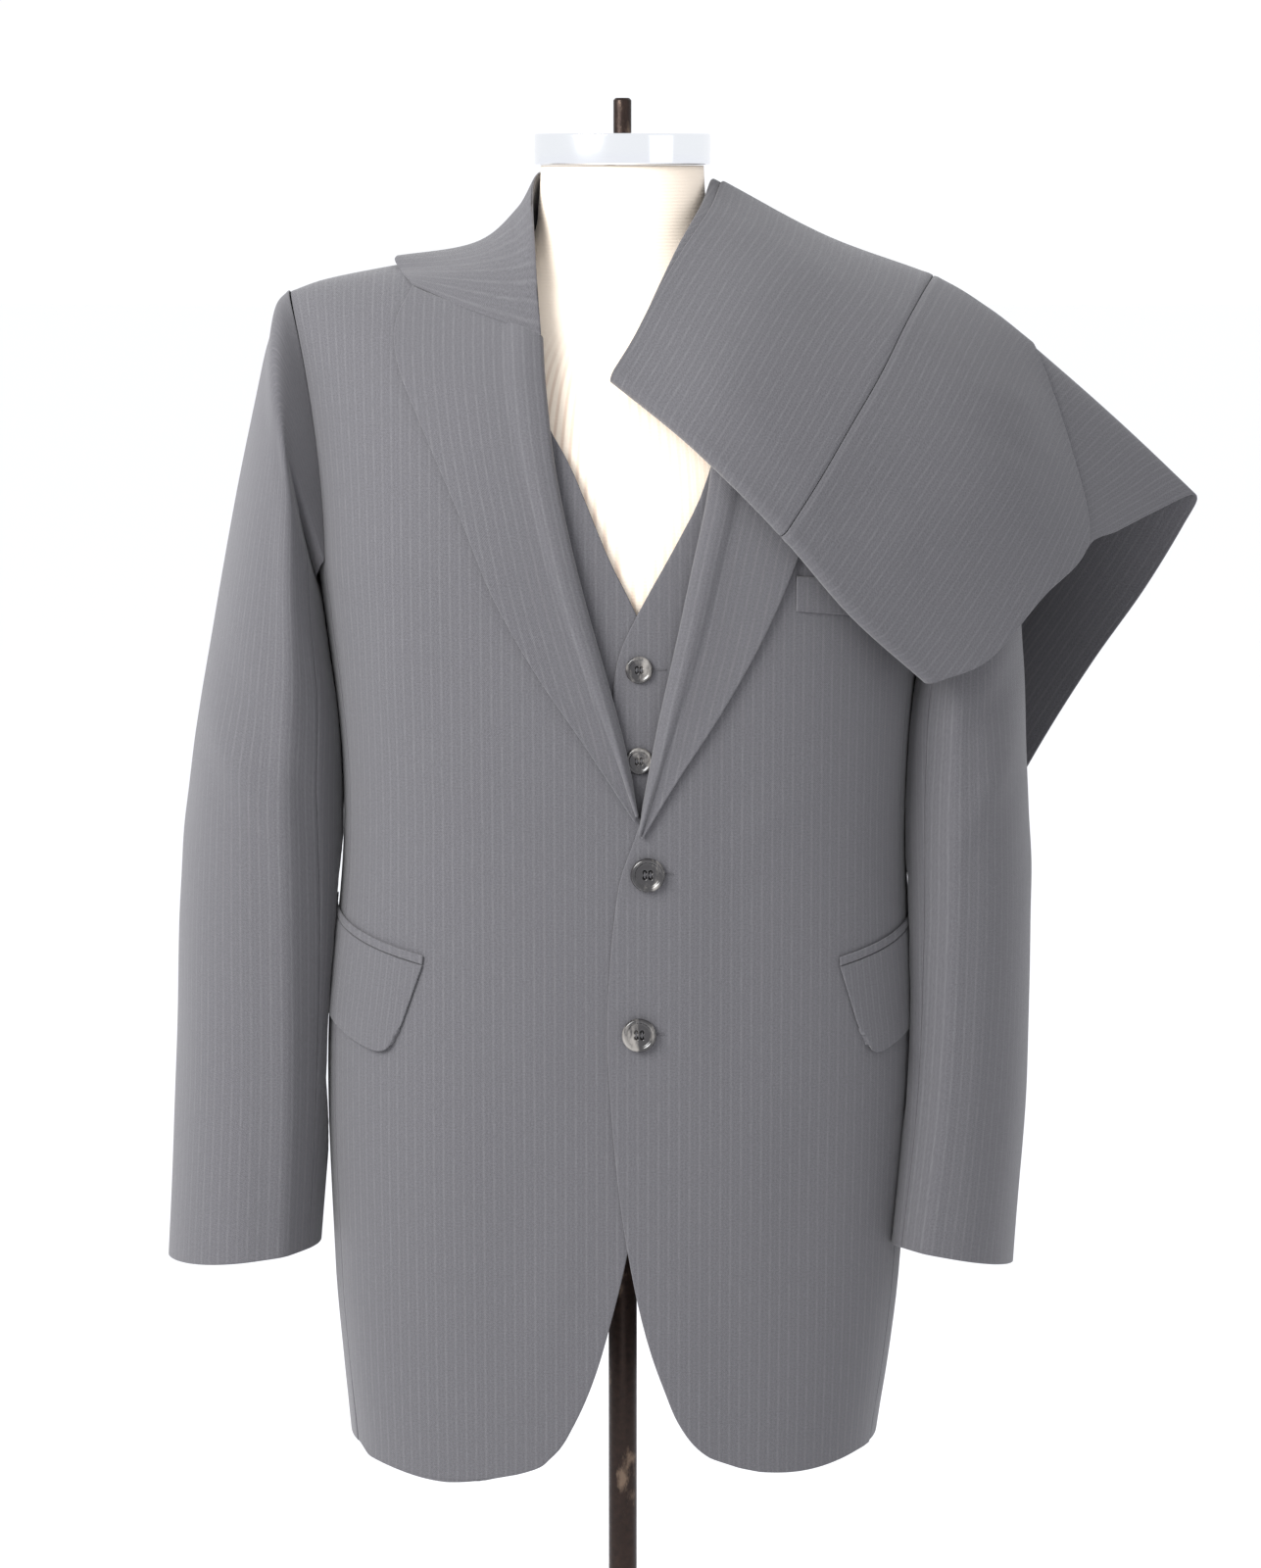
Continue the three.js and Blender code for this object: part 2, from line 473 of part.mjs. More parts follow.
// A point of the flank, from the front side seam (-1) to the back side seam (1).
const FLANK_GAP = 0.01; // left at each side seam, as a share of the flank
const flankDepth = roundOff(SEAM_REACH, RING_SQUARE);
function flankPoint(side, q, z) {
  const depth = q < 0 ? 'front' : 'back';
  const share = Math.abs(q) * flankDepth;
  const x = body('middle', z) + side * body('half', z) * roundOff(share, RING_SQUARE);
  return V(x, Math.sign(q) * share * body(depth, z), z);
}

// Anything next to the body keeps this far out of the flank: returns the x to keep to.
function flankAt(side, y, z) {
  const height = Math.min(z, CHEST_LINE);
  const share = Math.min(0.999, Math.abs(y) / body(y < 0 ? 'front' : 'back', height));
  return body('middle', height) + side * body('half', height) * roundOff(share, RING_SQUARE);
}

// ---------------------------------------------------------------- jacket body
const seamShare = SEAM / 2 / ARMHOLE_FOOT;

const overlapLift = (x) => OVERLAP.lift * (1 - ease(OVERLAP.from, OVERLAP.to, x));

function hemSag(x, z) {
  const share = clamp((Math.abs(x) - HEM_SAG.from) / (HEM_SAG.to - HEM_SAG.from), 0, 1);
  return HEM_SAG.deep * Math.sin(Math.PI * share) ** 2 * (1 - ease(0, HEM_SAG.high, z - JACKET_HEM));
}

function frontPanel(side, edgeTable, lift) {
  const surface = (u, h) => {
    let x = 0;
    for (let pass = 0; pass < 3; pass += 1) x = lookup(edgeTable, 'z', heightAt(side, x, h), 'x');
    const p = panelPoint(side, -1, mix(reachAt(side, x, h), 1 - seamShare, u), h);
    p.z -= hemSag(p.x, p.z);
    return p;
  };
  return { surface, lift: (u, h) => lift(surface(u, h).x) };
}

function jacketFronts() {
  const left = frontPanel(LEFT, LEFT_EDGE, overlapLift);
  const right = frontPanel(RIGHT, RIGHT_EDGE, () => 0);
  const hem = JACKET_HEM - CHEST_LINE;
  const leftRows = [hem + 1, ...JACKET_FRONT_ROWS];
  const rightRows = [hem - RIGHT_HEM_DROP, ...JACKET_FRONT_ROWS];
  const across = 9;
  add('jacket_front_left', sheet(left.surface, { across, rows: leftRows, lift: left.lift }), suiting());
  add('jacket_front_right', sheet(right.surface, { across, rows: rightRows, turn: -1 }), suiting());
}

function jacketSides() {
  [LEFT, RIGHT].forEach((side) => {
    const surface = (u, h) => {
      const q = side * mix(-1 + FLANK_GAP, 1 - FLANK_GAP, u);
      const top = -ARMHOLE_DIP * Math.cos((q * Math.PI) / 2);
      return flankPoint(side, q, CHEST_LINE + (h === 0 ? top : h));
    };
    const rows = [JACKET_HEM - CHEST_LINE, ...BODY_ROWS];
    const name = side === LEFT ? 'jacket_side_left' : 'jacket_side_right';
    add(name, sheet(surface, { across: 5, rows, turn: 1 }), suiting());
  });
}

// Rows over the chest line end at the neck's curve in the middle of the back.
const NECK = { dip: 0.37, reach: 88 };
function backRow(x, h) {
  const short = NECK.dip * Math.max(0, 1 - (x / NECK.reach) ** 2) ** 1.5;
  return h > 0 ? h * (1 - short) : h;
}

function jacketBacks() {
  const hem = JACKET_HEM - CHEST_LINE;
  const ventTop = VENT_TOP - CHEST_LINE;
  [LEFT, RIGHT].forEach((side) => {
    const surface = (u, row) => {
      const h = backRow(ARMHOLE_FOOT * u, row);
      const open = VENT_OPEN * ease(0, 1, (ventTop - h) / (ventTop - hem));
      const start = reachAt(side, side * (SEAM / 2 + open), h);
      return panelPoint(side, 1, mix(start, 1 - seamShare, u), h);
    };
    const name = side === LEFT ? 'jacket_back_left' : 'jacket_back_right';
    add(name, sheet(surface, { across: 8, rows: [hem, ...JACKET_BACK_ROWS],
      turn: side === LEFT ? -1 : 1 }), suiting());
  });
}

// ---------------------------------------------------------------- lapels and collar
function lapels() {
  [LEFT, RIGHT].forEach((side) => {
    const rows = LAPEL[side];
    const folds = rows.map((r) => V(r.foldX, 0, r.foldZ));
    const edges = rows.map((r) => V(r.edgeX, 0, r.edgeZ));
    const place = (u, v) => {
      const at = v * (rows.length - 1);
      const p = through(folds, at).lerp(through(edges, at), u);
      return frontAt(p.x, p.z);
    };
    const base = side === LEFT ? overlapLift : () => 0;
    const roll = (u) => LAPEL_ROLL.high * Math.sin(Math.PI * Math.min(1, u / LAPEL_ROLL.share));
    const height = (u, x) => CLOTH + 2 * LIFT + base(x) + roll(u) + LAPEL_EDGE_LIFT * u ** 3;
    const grid = (thick) => evenly(LAPEL_GRID.across).map((t) => evenly(LAPEL_GRID.along).map((v) => {
      const u = t ** LAPEL_GRID.crowd;
      const { point, normal } = place(u, v);
      return point.clone().addScaledVector(normal, height(u, point.x) - thick);
    }));
    const geometry = side === LEFT ? wall(grid(0), grid(CLOTH)) : wall(grid(CLOTH), grid(0));
    add(side === LEFT ? 'lapel_left' : 'lapel_right', geometry, suiting());
  });
}

function collar() {
  const station = (row, side) => ['foot', 'fold', 'neck', 'fall', 'edge'].map((key) => {
    const [x, y, z] = row[key];
    if (side === RIGHT) return V(-x, y, z);
    const drop = shoulderHeight(RIGHT, x) - shoulderHeight(LEFT, x);
    const { soft, top, bottom } = COLLAR_PRESS;
    const pressed = (z - row.foot[2]) * row.press * ease(row.foot[2], row.foot[2] + soft, z);
    return V(x, y, z - drop * ease(top, bottom, z) - pressed);
  });
  const stations = [
    ...COLLAR.map((row) => station(row, RIGHT)),
    ...COLLAR.slice(0, -1).reverse().map((row) => station(row, LEFT)),
  ];
  const surface = (u, v) => {
    const at = u * (stations.length - 1);
    const profile = [0, 1, 2, 3, 4].map((k) => through(stations.map((s) => s[k]), at));
    return through(profile, v * 4);
  };
  add('collar', sheet(surface, { across: 24, rows: COLLAR_ROWS }), suiting());
}

// ---------------------------------------------------------------- sleeves
// The armhole as a loop; angle 0 is the shoulder point, 90 the front, 180 under the arm.
function armholePoint(side, angle) {
  const [rise, out] = [Math.cos(degrees(angle)), Math.sin(degrees(angle))];
  const face = out > 0 ? -1 : 1;
  const depth = body(face < 0 ? 'front' : 'back', CHEST_LINE) * flankDepth;
  if (rise >= 0) {
    const up = rise ** (2 / ARCH_SQUARE);
    const x = armholeReach(up);
    return V(side * x, face * depth * Math.abs(out) ** (2 / ARCH_SQUARE),
      mix(CHEST_LINE, shoulderHeight(side, x), up));
  }
  const x = ARMHOLE_FOOT + (body('half', CHEST_LINE) - ARMHOLE_FOOT) * -rise;
  return V(side * x, face * depth * Math.abs(out), CHEST_LINE + ARMHOLE_DIP * rise);
}

function sleeveClear(z) {
  const { air, flaps, bottom, low, high, top } = SLEEVE_CLEAR;
  return mix(air, flaps, ease(bottom, low, z) * (1 - ease(high, top, z)));
}

function sleevePoint(side, angle, row, rise) {
  const [c, s] = [Math.cos(degrees(angle)), Math.sin(degrees(angle))];
  const crease = 1 + SLEEVE_CREASE.high * Math.exp(-(((angle - 90) / SLEEVE_CREASE.wide) ** 2));
  const [tilt, turn] = [degrees(row.tilt), degrees(row.turn)];
  const across = row.half * power(c, SLEEVE_SQUARE);
  const forward = row.deep * power(s, SLEEVE_SQUARE) * crease;
  const x = row.x + across * Math.cos(tilt) * Math.cos(turn) - forward * Math.sin(turn);
  const y = row.y - forward * Math.cos(turn) - across * Math.cos(tilt) * Math.sin(turn);
  return V(side * x, y, row.z + across * Math.sin(tilt) + forward * Math.sin(degrees(rise)));
}

function sleeves() {
  [LEFT, RIGHT].forEach((side) => {
    const rows = SLEEVE[side];
    const surfaceAt = (angle, v) => {
      const start = armholePoint(side, angle).add(V(side * SLEEVE_HEAD_GAP, 0, 0));
      const line = [start, ...rows.map((row, k) => sleevePoint(side, angle, row,
        k === rows.length - 1 ? CUFF_RISE[side] : 0))];
      const p = through(line, v * rows.length);
      const keep = flankAt(side, p.y, p.z) + side * sleeveClear(p.z);
      if (v > 0 && side * p.x < side * keep) p.x = mix(p.x, keep, ease(0, 0.06, v));
      return p;
    };
    const parts = [
      { name: 'top', from: SLEEVE_SEAMS.back - 360, to: SLEEVE_SEAMS.front, across: SLEEVE_GRID.top },
      { name: 'under', from: SLEEVE_SEAMS.front, to: SLEEVE_SEAMS.back, across: SLEEVE_GRID.under },
    ];
    const gap = SLEEVE_SEAM_GAP;
    parts.forEach(({ name, from, to, across }) => {
      const surface = (u, v) => surfaceAt(mix(from + gap, to - gap, u), v);
      const geometry = sheet(surface, { across, rows: evenly(SLEEVE_GRID.along),
        turn: side === LEFT ? -1 : 1 });
      add(`sleeve_${side === LEFT ? 'left' : 'right'}_${name}`, geometry, suiting());
    });
  });
}

// ---------------------------------------------------------------- pockets
function pockets() {
  [LEFT, RIGHT].forEach((side) => {
    const flap = FLAP[side];
    const name = side === LEFT ? 'left' : 'right';
    const ringAngle = (x, z) => {
      const share = Math.abs(x - body('middle', z)) / body('half', z);
      return Math.acos(clamp(share, 0, 1) ** (RING_SQUARE / 2));
    };
    const first = ringAngle(side * flap.start, flap.z);
    const last = Math.asin((FLAP_END / body('front', flap.z)) ** (RING_SQUARE / 2));
    const onRing = (angle, z) => {
      const x = body('middle', z) + side * body('half', z) * Math.cos(angle) ** (2 / RING_SQUARE);
      return V(x, -body('front', z) * Math.sin(angle) ** (2 / RING_SQUARE), z);
    };
    const topLine = (u) => flap.z + flap.rise * u;
    const flapSurface = (u, v) => {
      const { high, wide, from } = FLAP_CORNER;
      const start = ringAngle(side * (flap.start + FLAP_SWEEP * v), flap.z);
      const corner = high * (1 - ease(0, wide, u)) * ease(from, 1, v);
      const z = topLine(u) - LIFT - flap.depth * v + corner;
      return onRing(mix(start, last, u), z);
    };
    const lift = () => CLOTH + LIFT;
    const turn = side === LEFT ? -1 : 1;
    const across = 7;
    add(`pocket_flap_${name}`, sheet(flapSurface, { across, rows: FLAP_ROWS, lift, turn }), suiting());
    const jetSurface = (u, v) => onRing(mix(first, last, u), topLine(u) + JET.high * (1 - v));
    const jet = { across, rows: [0, 1], thick: JET.thick, lift: () => JET.thick + LIFT + SEAM, turn };
    add(`pocket_jet_${name}`, sheet(jetSurface, jet), suiting());
  });
  const grid = (height) => evenly(7).map((u) => evenly(2).map((v) => {
    const x = mix(BREAST_WELT.from, BREAST_WELT.to, u);
    const z = BREAST_WELT.z - BREAST_WELT.fall * (x - BREAST_WELT.from) - BREAST_WELT.high * v;
    const { point, normal } = frontAt(x, z);
    return point.addScaledVector(normal, height);
  }));
  add('breast_welt', wall(grid(LIFT), grid(LIFT + JET.thick)), suiting());
}

// ---------------------------------------------------------------- waistcoat
function waistcoat() {
  const reach = (h) => Math.min(1, lookup(VEST_ARMHOLE, 'h', h, 'reach'));
  const depth = (h) => mix(VEST_DEPTH, VEST_SHOULDER_DEPTH, ease(ARC * 0.4, ARC * 0.9, h));
  const front = (side, edge, lap) => {
    const surface = (u, h) => {
      let x = 0;
      for (let pass = 0; pass < 3; pass += 1) x = lookup(edge, 'z', heightAt(side, x, h), 'x');
      return panelPoint(side, -1, mix(reachAt(side, x, h), reach(h) - seamShare, u), h);
    };
    const lift = (u, h) => -depth(h) - lap * (1 - ease(VEST_LAP.from, VEST_LAP.to,
      Math.abs(surface(u, h).x)));
    return { surface, lift };
  };
  const [across, rows] = [5, VEST_FRONT_ROWS];
  const left = front(LEFT, VEST_LEFT_EDGE, 0);
  const right = front(RIGHT, VEST_RIGHT_EDGE, VEST_LAP.lift);
  add('vest_front_left', sheet(left.surface, { across, rows, lift: left.lift }), suiting());
  add('vest_front_right', sheet(right.surface, { across, rows, lift: right.lift, turn: -1 }), suiting());

  // The back runs on round the flank to the side seam, up to the armhole.
  const { top, bottom } = VEST_SIDE;
  const round = VEST_BACK_SHARE;
  const sideSeam = 3 - 2 * FLANK_GAP;
  const backSurface = (u, row) => {
    const w = Math.abs(2 * u - 1);
    const side = u < 0.5 ? RIGHT : LEFT;
    const wide = mix(sideSeam, reach(Math.max(row, top)), ease(bottom, top, row)) - seamShare;
    const knee = Math.min(1, 0.9 * wide);
    const a = w < round ? (w / round) * knee : mix(knee, wide, (w - round) / (1 - round));
    const h = backRow(a * ARMHOLE_FOOT, row);
    return a <= 1 ? panelPoint(side, 1, a, h) : flankPoint(side, 2 - a, CHEST_LINE + h);
  };
  const backLift = (u, h) => -depth(h) - LIFT * ease(0, ARC * 0.4, h);
  add('vest_back', sheet(backSurface, { across: 16, rows: VEST_BACK_ROWS, lift: backLift, turn: -1 }),
    suiting());
}

// ---------------------------------------------------------------- buttons
function button(name, { radius, thick, sides }, x, z, height) {
  const profile = [
    [0, 0], [radius * 0.8, 0], [radius, thick * 0.35], [radius, thick * 0.7], [radius * 0.88, thick],
    [radius * 0.72, thick * 0.8], [0, thick * 0.62],
  ].map(([r, h]) => new THREE.Vector2(r, h));
  const { point, normal } = frontAt(x, z);
  const geometry = new THREE.LatheGeometry(profile, sides);
  const turn = new THREE.Quaternion().setFromUnitVectors(V(0, 1, 0), normal);
  geometry.applyQuaternion(turn);
  const at = point.addScaledVector(normal, height);
  geometry.translate(at.x, at.y, at.z);
  add(name, geometry, horn());
}

function buttons() {
  JACKET_BUTTONS.forEach(({ x, z }, i) => {
    button(`jacket_button_${i + 1}`, JACKET_BUTTON, x, z, OVERLAP.lift + LIFT);
  });
  const { x, top, pitch, count } = VEST_BUTTONS;
  for (let i = 0; i < count; i += 1) {
    button(`vest_button_${i + 1}`, VEST_BUTTON, x, top - i * pitch, SEAM - VEST_DEPTH);
  }
}

// ---------------------------------------------------------------- dress form and stand
function formTorso() {
  const round = 28; // columns of the torso
  const heights = FORM.map((row) => row.z);
  const rings = heights.map((z) => evenly(round).slice(0, -1).map((t) => {
    const angle = t * 2 * Math.PI;
    const [c, s] = [Math.cos(angle), Math.sin(angle)];
    const section = (column) => lookup(FORM, 'z', z, column);
    const shape = 2 / section('square');
    return V(section('half') * power(c, shape),
      (s < 0 ? section('front') : section('back')) * power(s, shape), z);
  }));
  add('form_torso', stack(rings), ribbedKnit());
}

function turned(name, profile, material, segments) {
  const geometry = new THREE.LatheGeometry(profile.map(([r, z]) => new THREE.Vector2(r, z)), segments);
  geometry.rotateX(Math.PI / 2);
  add(name, geometry, material);
}

function stand() {
  const { rim, dome: high, domeFoot, neck } = BASE;
  const dome = evenly(5).map((t) => {
    const r = mix(BASE_RADIUS - rim, HUB_RADIUS + domeFoot, t);
    return [r, domeFoot + high * Math.sin((t * Math.PI) / 2) ** 1.5];
  });
  const hub = [
    [HUB_RADIUS + neck, domeFoot + high + neck * 1.5], [HUB_RADIUS, domeFoot + high + neck * 4],
    [HUB_RADIUS, HUB_TOP - neck], [HUB_RADIUS - neck, HUB_TOP], [0, HUB_TOP],
  ];
  const foot = [[0, 0], [BASE_RADIUS - 2, 0], [BASE_RADIUS, 2], [BASE_RADIUS, rim + 3]];
  turned('stand_base', [...foot, ...dome, ...hub], bronzedIron(), 30);
  const under = FORM[0].z - FLANGE.thick - SEAM;
  turned('stand_pole', [
    [0, HUB_TOP + SEAM], [POLE_RADIUS, HUB_TOP + SEAM], [POLE_RADIUS, under - SEAM], [0, under - SEAM],
  ], bronzedIron(), 16);
  turned('form_flange', [
    [0, under], [FLANGE.radius - 2, under], [FLANGE.radius, under + 2],
    [FLANGE.radius, under + FLANGE.thick], [0, under + FLANGE.thick],
  ], bronzedIron(), 20);
  const { radius, bottom, top, round } = CAP;
  turned('neck_cap', [
    [0, bottom], [radius - 1, bottom], [radius, bottom + 1], [radius, top - round],
    [radius - round * 0.3, top - round * 0.3], [radius - round, top], [0, top],
  ], chrome(), 32);
  turned('finial_rod', [
    [0, top + SEAM], [FINIAL.radius, top + SEAM], [FINIAL.radius, FINIAL.top - 1.5],
    [FINIAL.radius - 1.5, FINIAL.top], [0, FINIAL.top],
  ], bronzedIron(), 14);
}

// ---------------------------------------------------------------- trousers
const LEG_LENGTH = 930; // from the knee fold to the end behind, along the middle
const LEG_COLUMNS = ['crease', 'inner', 'seam', 'outer', 'back'];
const legRows = TROUSERS.map((row) => LEG_COLUMNS.map((key) => V(...row[key])));

// The outside of the upper leg: u from front crease to back crease, v from knee to waist.
function legPoint(u, v) {
  const at = v * (legRows.length - 1);
  return through(legRows.map((row) => through(row, u * 4)), at);
}

const legNormal = (u, v) => normalAt(legPoint, clamp(u, 0, 1), clamp(v, 0, 1), 1);

// A point some depth under the upper leg's outside; past the crease it keeps straight on.
function layerPoint(u, v, depth, beyond = 0) {
  const p = legPoint(clamp(u, 0, 1), clamp(v, 0, 1)).addScaledVector(legNormal(u, v), -depth);
  if (beyond === 0) return p;
  const edge = u < 0.5 ? 0 : 1;
  const inward = edge === 0 ? 0.01 : -0.01;
  const outwards = legPoint(edge, v).sub(legPoint(edge + inward, v)).normalize();
  return p.addScaledVector(outwards, beyond);
}

// The cloth turned round the knee fold: angle 0 on top, 180 underneath, then straight back.
function foldPoint(u, turned180, depth) {
  const { nose, turnUnder } = TROUSER;
  const start = legPoint(u, 0);
  const normal = legNormal(u, 0);
  const ahead = start.clone().sub(legPoint(u, 0.01)).normalize();
  const radius = nose - depth;
  const angle = Math.min(1, turned180) * Math.PI;
  const p = start.addScaledVector(normal, -nose + radius * Math.cos(angle)).addScaledVector(ahead,
    radius * Math.sin(angle));
  if (turned180 <= 1) return p;
  const back = (turned180 - 1) * turnUnder;
  return layerPoint(u, back / (LEG_LENGTH / 2), nose + radius);
}

function upperLeg() {
  const folds = [2, 1.4, 1, 0.75, 0.5, 0.25];
  const rows = evenly(LEG_ALONG);
  const grid = (from, to, depth) => evenly(LEG_ACROSS / 2).map((t) => {
    const u = mix(from, to, t);
    return [...folds.map((f) => foldPoint(u, f, depth)), ...rows.map((v) => layerPoint(u, v, depth))];
  });
  const gap = SEAM_SHARE;
  [['trousers_front_panel', 0, 0.5 - gap],
    ['trousers_back_panel', 0.5 + gap, 1]].forEach(([name, from, to]) => {
    add(name, wall(grid(from, to, 0), grid(from, to, TROUSER.cloth)), suiting());
  });
}

// The second leg lies under the first and shows past it on both sides.
function secondLeg() {
  const { cloth, gap, second, sliver } = TROUSER;
  const rows = evenly(LEG_ALONG).slice(1);
  const edge = (at, k) => lookup(SECOND_LEG, 'row', at, k);
  const sliverAt = (v) => sliver * ease(0.13, 0.42, v) * (1 - ease(0.55, 0.62, v));
  const grid = (depth) => {
    const first = rows.map((v) => layerPoint(0, v, depth, 0.1 + sliverAt(v)));
    const under = evenly(LEG_ACROSS).slice(1, -1).map((u) => rows.map((v) => layerPoint(u, v, depth)));
    const last = rows.map((v) => layerPoint(1, v, depth, -OUTER_FLAP.tuck));
    const shown = evenly(3).slice(1).map((t) => rows.map((v, j) => {
      const at = Math.max(SECOND_LEG[0].row, v * (legRows.length - 1));
      const show = ease(OUTER_FLAP.from, OUTER_FLAP.to, v * (legRows.length - 1));
      const out = V(edge(at, 'x'), edge(at, 'y'),
        edge(at, 'z')).sub(legPoint(1, at / (legRows.length - 1)));
      return last[j].clone().addScaledVector(out, t * show);
    }));
    return [first, ...under, last, ...shown];
  };
  const top = cloth + gap;
  add('trousers_second_leg', wall(grid(top), grid(top + second)), suiting());
}

// All the layers between, as one rounded solid with its edges stepped like folded cloth.
function hiddenLayers() {
  const { cloth, gap, second, stack: deep, thin } = TROUSER;
  const from = cloth + second + 2.4 * gap;
  const columns = evenly(LEG_ACROSS).slice(1, -1);
  const ringAt = (v, squeeze, ahead) => {
    const ring = [];
    const place = (u, share, beyond) => {
      const to = mix(thin, deep, ease(0, 0.3, u)) - cloth - gap;
      const depth = (from + to) / 2 + ((to - from) / 2) * squeeze * share;
      const p = layerPoint(u, v, depth, beyond);
      return ahead === 0 ? p : p.addScaledVector(legPoint(u, 0).sub(legPoint(u, 0.01)).normalize(), ahead);
    };
    const edge = (u, from, to, [shallow, deepest]) => {
      for (let k = from; k !== to; k += Math.sign(to - from)) {
        ring.push(place(u, k / 2, k % 2 ? -deepest : -shallow));
      }
    };
    edge(0, 0, -3, STEP_IN.front);
    columns.forEach((u) => ring.push(place(u, -1, 0)));
    edge(1, -2, 3, STEP_IN.back);
    [...columns].reverse().forEach((u) => ring.push(place(u, 1, 0)));
    edge(0, 2, 0, STEP_IN.front);
    return ring;
  };
  const noseHalf = (deep - 2 * cloth - 3 * gap - second) / 2;
  const nose = [0.3, 0.75].map((t) => ringAt(0, t, noseHalf * Math.sqrt(1 - t * t)));
  const rings = [...nose, ...evenly(LEG_ALONG).map((v) => ringAt(v, 1, 0))];
  add('trousers_inner_layers', stack(rings), suiting());
}

function waistband() {
  const { high, thick } = WAISTBAND;
  const band = high / LEG_LENGTH;
  const grid = (depth) => evenly(10).map((u) => [1 - band,
    1].map((v) => layerPoint(mix(0.004, 0.996, u), v, depth)));
  const top = -(LIFT + thick);
  add('waistband_outer', wall(grid(top), grid(top + thick)), suiting());
  const under = TROUSER.stack - TROUSER.cloth - TROUSER.gap + LIFT;
  add('waistband_inner', wall(grid(under), grid(under + thick)), suiting());
}

jacketFronts();
jacketSides();
jacketBacks();
lapels();
collar();
sleeves();
pockets();
waistcoat();
buttons();
formTorso();
stand();
upperLeg();
secondLeg();
hiddenLayers();
waistband();

export default suit;
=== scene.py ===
# %% [markdown]
# # A three-piece suit on a dress form
# The suit is a jacket, a waistcoat and a pair of trousers in one worsted cloth. A limbless
# dress form on a round stand wears the first two, and the trousers, folded in half at the
# knee, lie over its left shoulder. Each garment is drawn as a maker would cut it: a panel
# is a function of two numbers, one across the cloth and one along it, and a grid of that
# function becomes a thin wall with rounded edges.

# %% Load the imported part
import math

import bpy
import numpy as np
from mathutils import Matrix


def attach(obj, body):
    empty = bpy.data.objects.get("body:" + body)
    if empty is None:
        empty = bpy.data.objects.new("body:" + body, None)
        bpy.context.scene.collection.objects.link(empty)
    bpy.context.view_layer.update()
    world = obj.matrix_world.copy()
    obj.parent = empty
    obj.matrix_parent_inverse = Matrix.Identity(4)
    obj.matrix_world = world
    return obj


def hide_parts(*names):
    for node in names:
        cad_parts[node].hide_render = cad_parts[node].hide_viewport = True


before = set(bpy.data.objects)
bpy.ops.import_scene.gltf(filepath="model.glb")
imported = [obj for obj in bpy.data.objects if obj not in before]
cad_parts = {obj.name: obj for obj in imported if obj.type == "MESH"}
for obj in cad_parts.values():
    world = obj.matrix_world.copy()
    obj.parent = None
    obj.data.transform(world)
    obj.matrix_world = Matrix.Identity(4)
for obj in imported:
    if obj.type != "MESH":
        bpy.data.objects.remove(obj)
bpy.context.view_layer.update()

# %% [markdown]
# ## Camera, floor and light
# The camera stands at chest height and looks a little down, as one would stand to look at
# a suit in a shop.

# %% Camera
CAMERA_PLACE = (0.0054, -2.830, 1.559)
CAMERA_DIP = 8.6
CAMERA_LENS = 96.43

camera = bpy.data.objects.new("camera", bpy.data.cameras.new("camera"))
camera.location = CAMERA_PLACE
camera.rotation_euler = (math.radians(90 - CAMERA_DIP), 0, 0)
camera.data.lens = CAMERA_LENS
camera.data.sensor_width = 36
bpy.context.scene.collection.objects.link(camera)
bpy.context.scene.camera = camera
bpy.context.scene.view_settings.view_transform = "Standard"
print("camera", CAMERA_PLACE, "lens", CAMERA_LENS, "mm")

# %% [markdown]
# Three helpers carry every material: colours are written as people name them and turned
# into linear light, a node is added with its settings and links, and a material starts as
# one Principled shader.

# %% Colours and nodes
def linear(hex_colour):
    """An sRGB hex colour as linear RGBA: below 0.04045 divided by 12.92, else the 2.4 power."""
    rgb = np.array([int(hex_colour[i:i + 2], 16) for i in (1, 3, 5)]) / 255
    low = rgb / 12.92
    high = ((rgb + 0.055) / 1.055) ** 2.4
    return tuple(np.where(rgb <= 0.04045, low, high)) + (1.0,)


def add_node(tree, kind, *inputs, out=0, **named):
    """Adds one node and returns one of its outputs. Inputs fill its sockets in order, by number
    (i6) or by name (From_Min); a name in small letters is one of the node's own settings."""
    node = tree.nodes.new("ShaderNode" + kind)
    for key, value in ({f"i{i}": value for i, value in enumerate(inputs)} | named).items():
        numbered = key[0] == "i" and key[1:].isdigit()
        if key.islower() and not numbered:
            setattr(node, key, value)
            continue
        socket = node.inputs[int(key[1:]) if numbered else key.replace("_", " ")]
        if isinstance(value, bpy.types.NodeSocket):
            tree.links.new(value, socket)
        else:
            socket.default_value = value
    return node.outputs[out]


def new_material(name, **settings):
    """A material with one Principled shader; settings are its sockets by name."""
    material = bpy.data.materials.new(name)
    material.use_nodes = True
    shader = material.node_tree.nodes["Principled BSDF"]
    for key, value in settings.items():
        shader.inputs[key.replace("_", " ")].default_value = value
    return material, material.node_tree, shader


print("white is", linear("#ffffff"))

# %% [markdown]
# The sky and the floor are the same pale tone, so the garment is read against a plain
# ground. One large soft lamp at the left front does the modelling and a weaker one at the
# right keeps the shaded side open.

# %% Sky, lamps and floor
ROOM = dict(colour="#fbfcff", strength=1.05)
world = bpy.data.worlds.new("pale_room")
world.use_nodes = True
sky = world.node_tree.nodes["Background"]
sky.inputs["Color"].default_value = linear(ROOM["colour"])
sky.inputs["Strength"].default_value = ROOM["strength"]
bpy.context.scene.world = world


def lamp(name, place, target, size, watts, colour):
    """A square area lamp at place that faces target."""
    data = bpy.data.lights.new(name, "AREA")
    data.energy = watts
    data.size = size
    data.color = linear(colour)[:3]
    obj = bpy.data.objects.new(name, data)
    x, y, z = (t - p for t, p in zip(target, place))
    obj.location = place
    obj.rotation_euler = (math.atan2(math.hypot(x, y), -z), 0, math.atan2(-x, y))
    bpy.context.scene.collection.objects.link(obj)


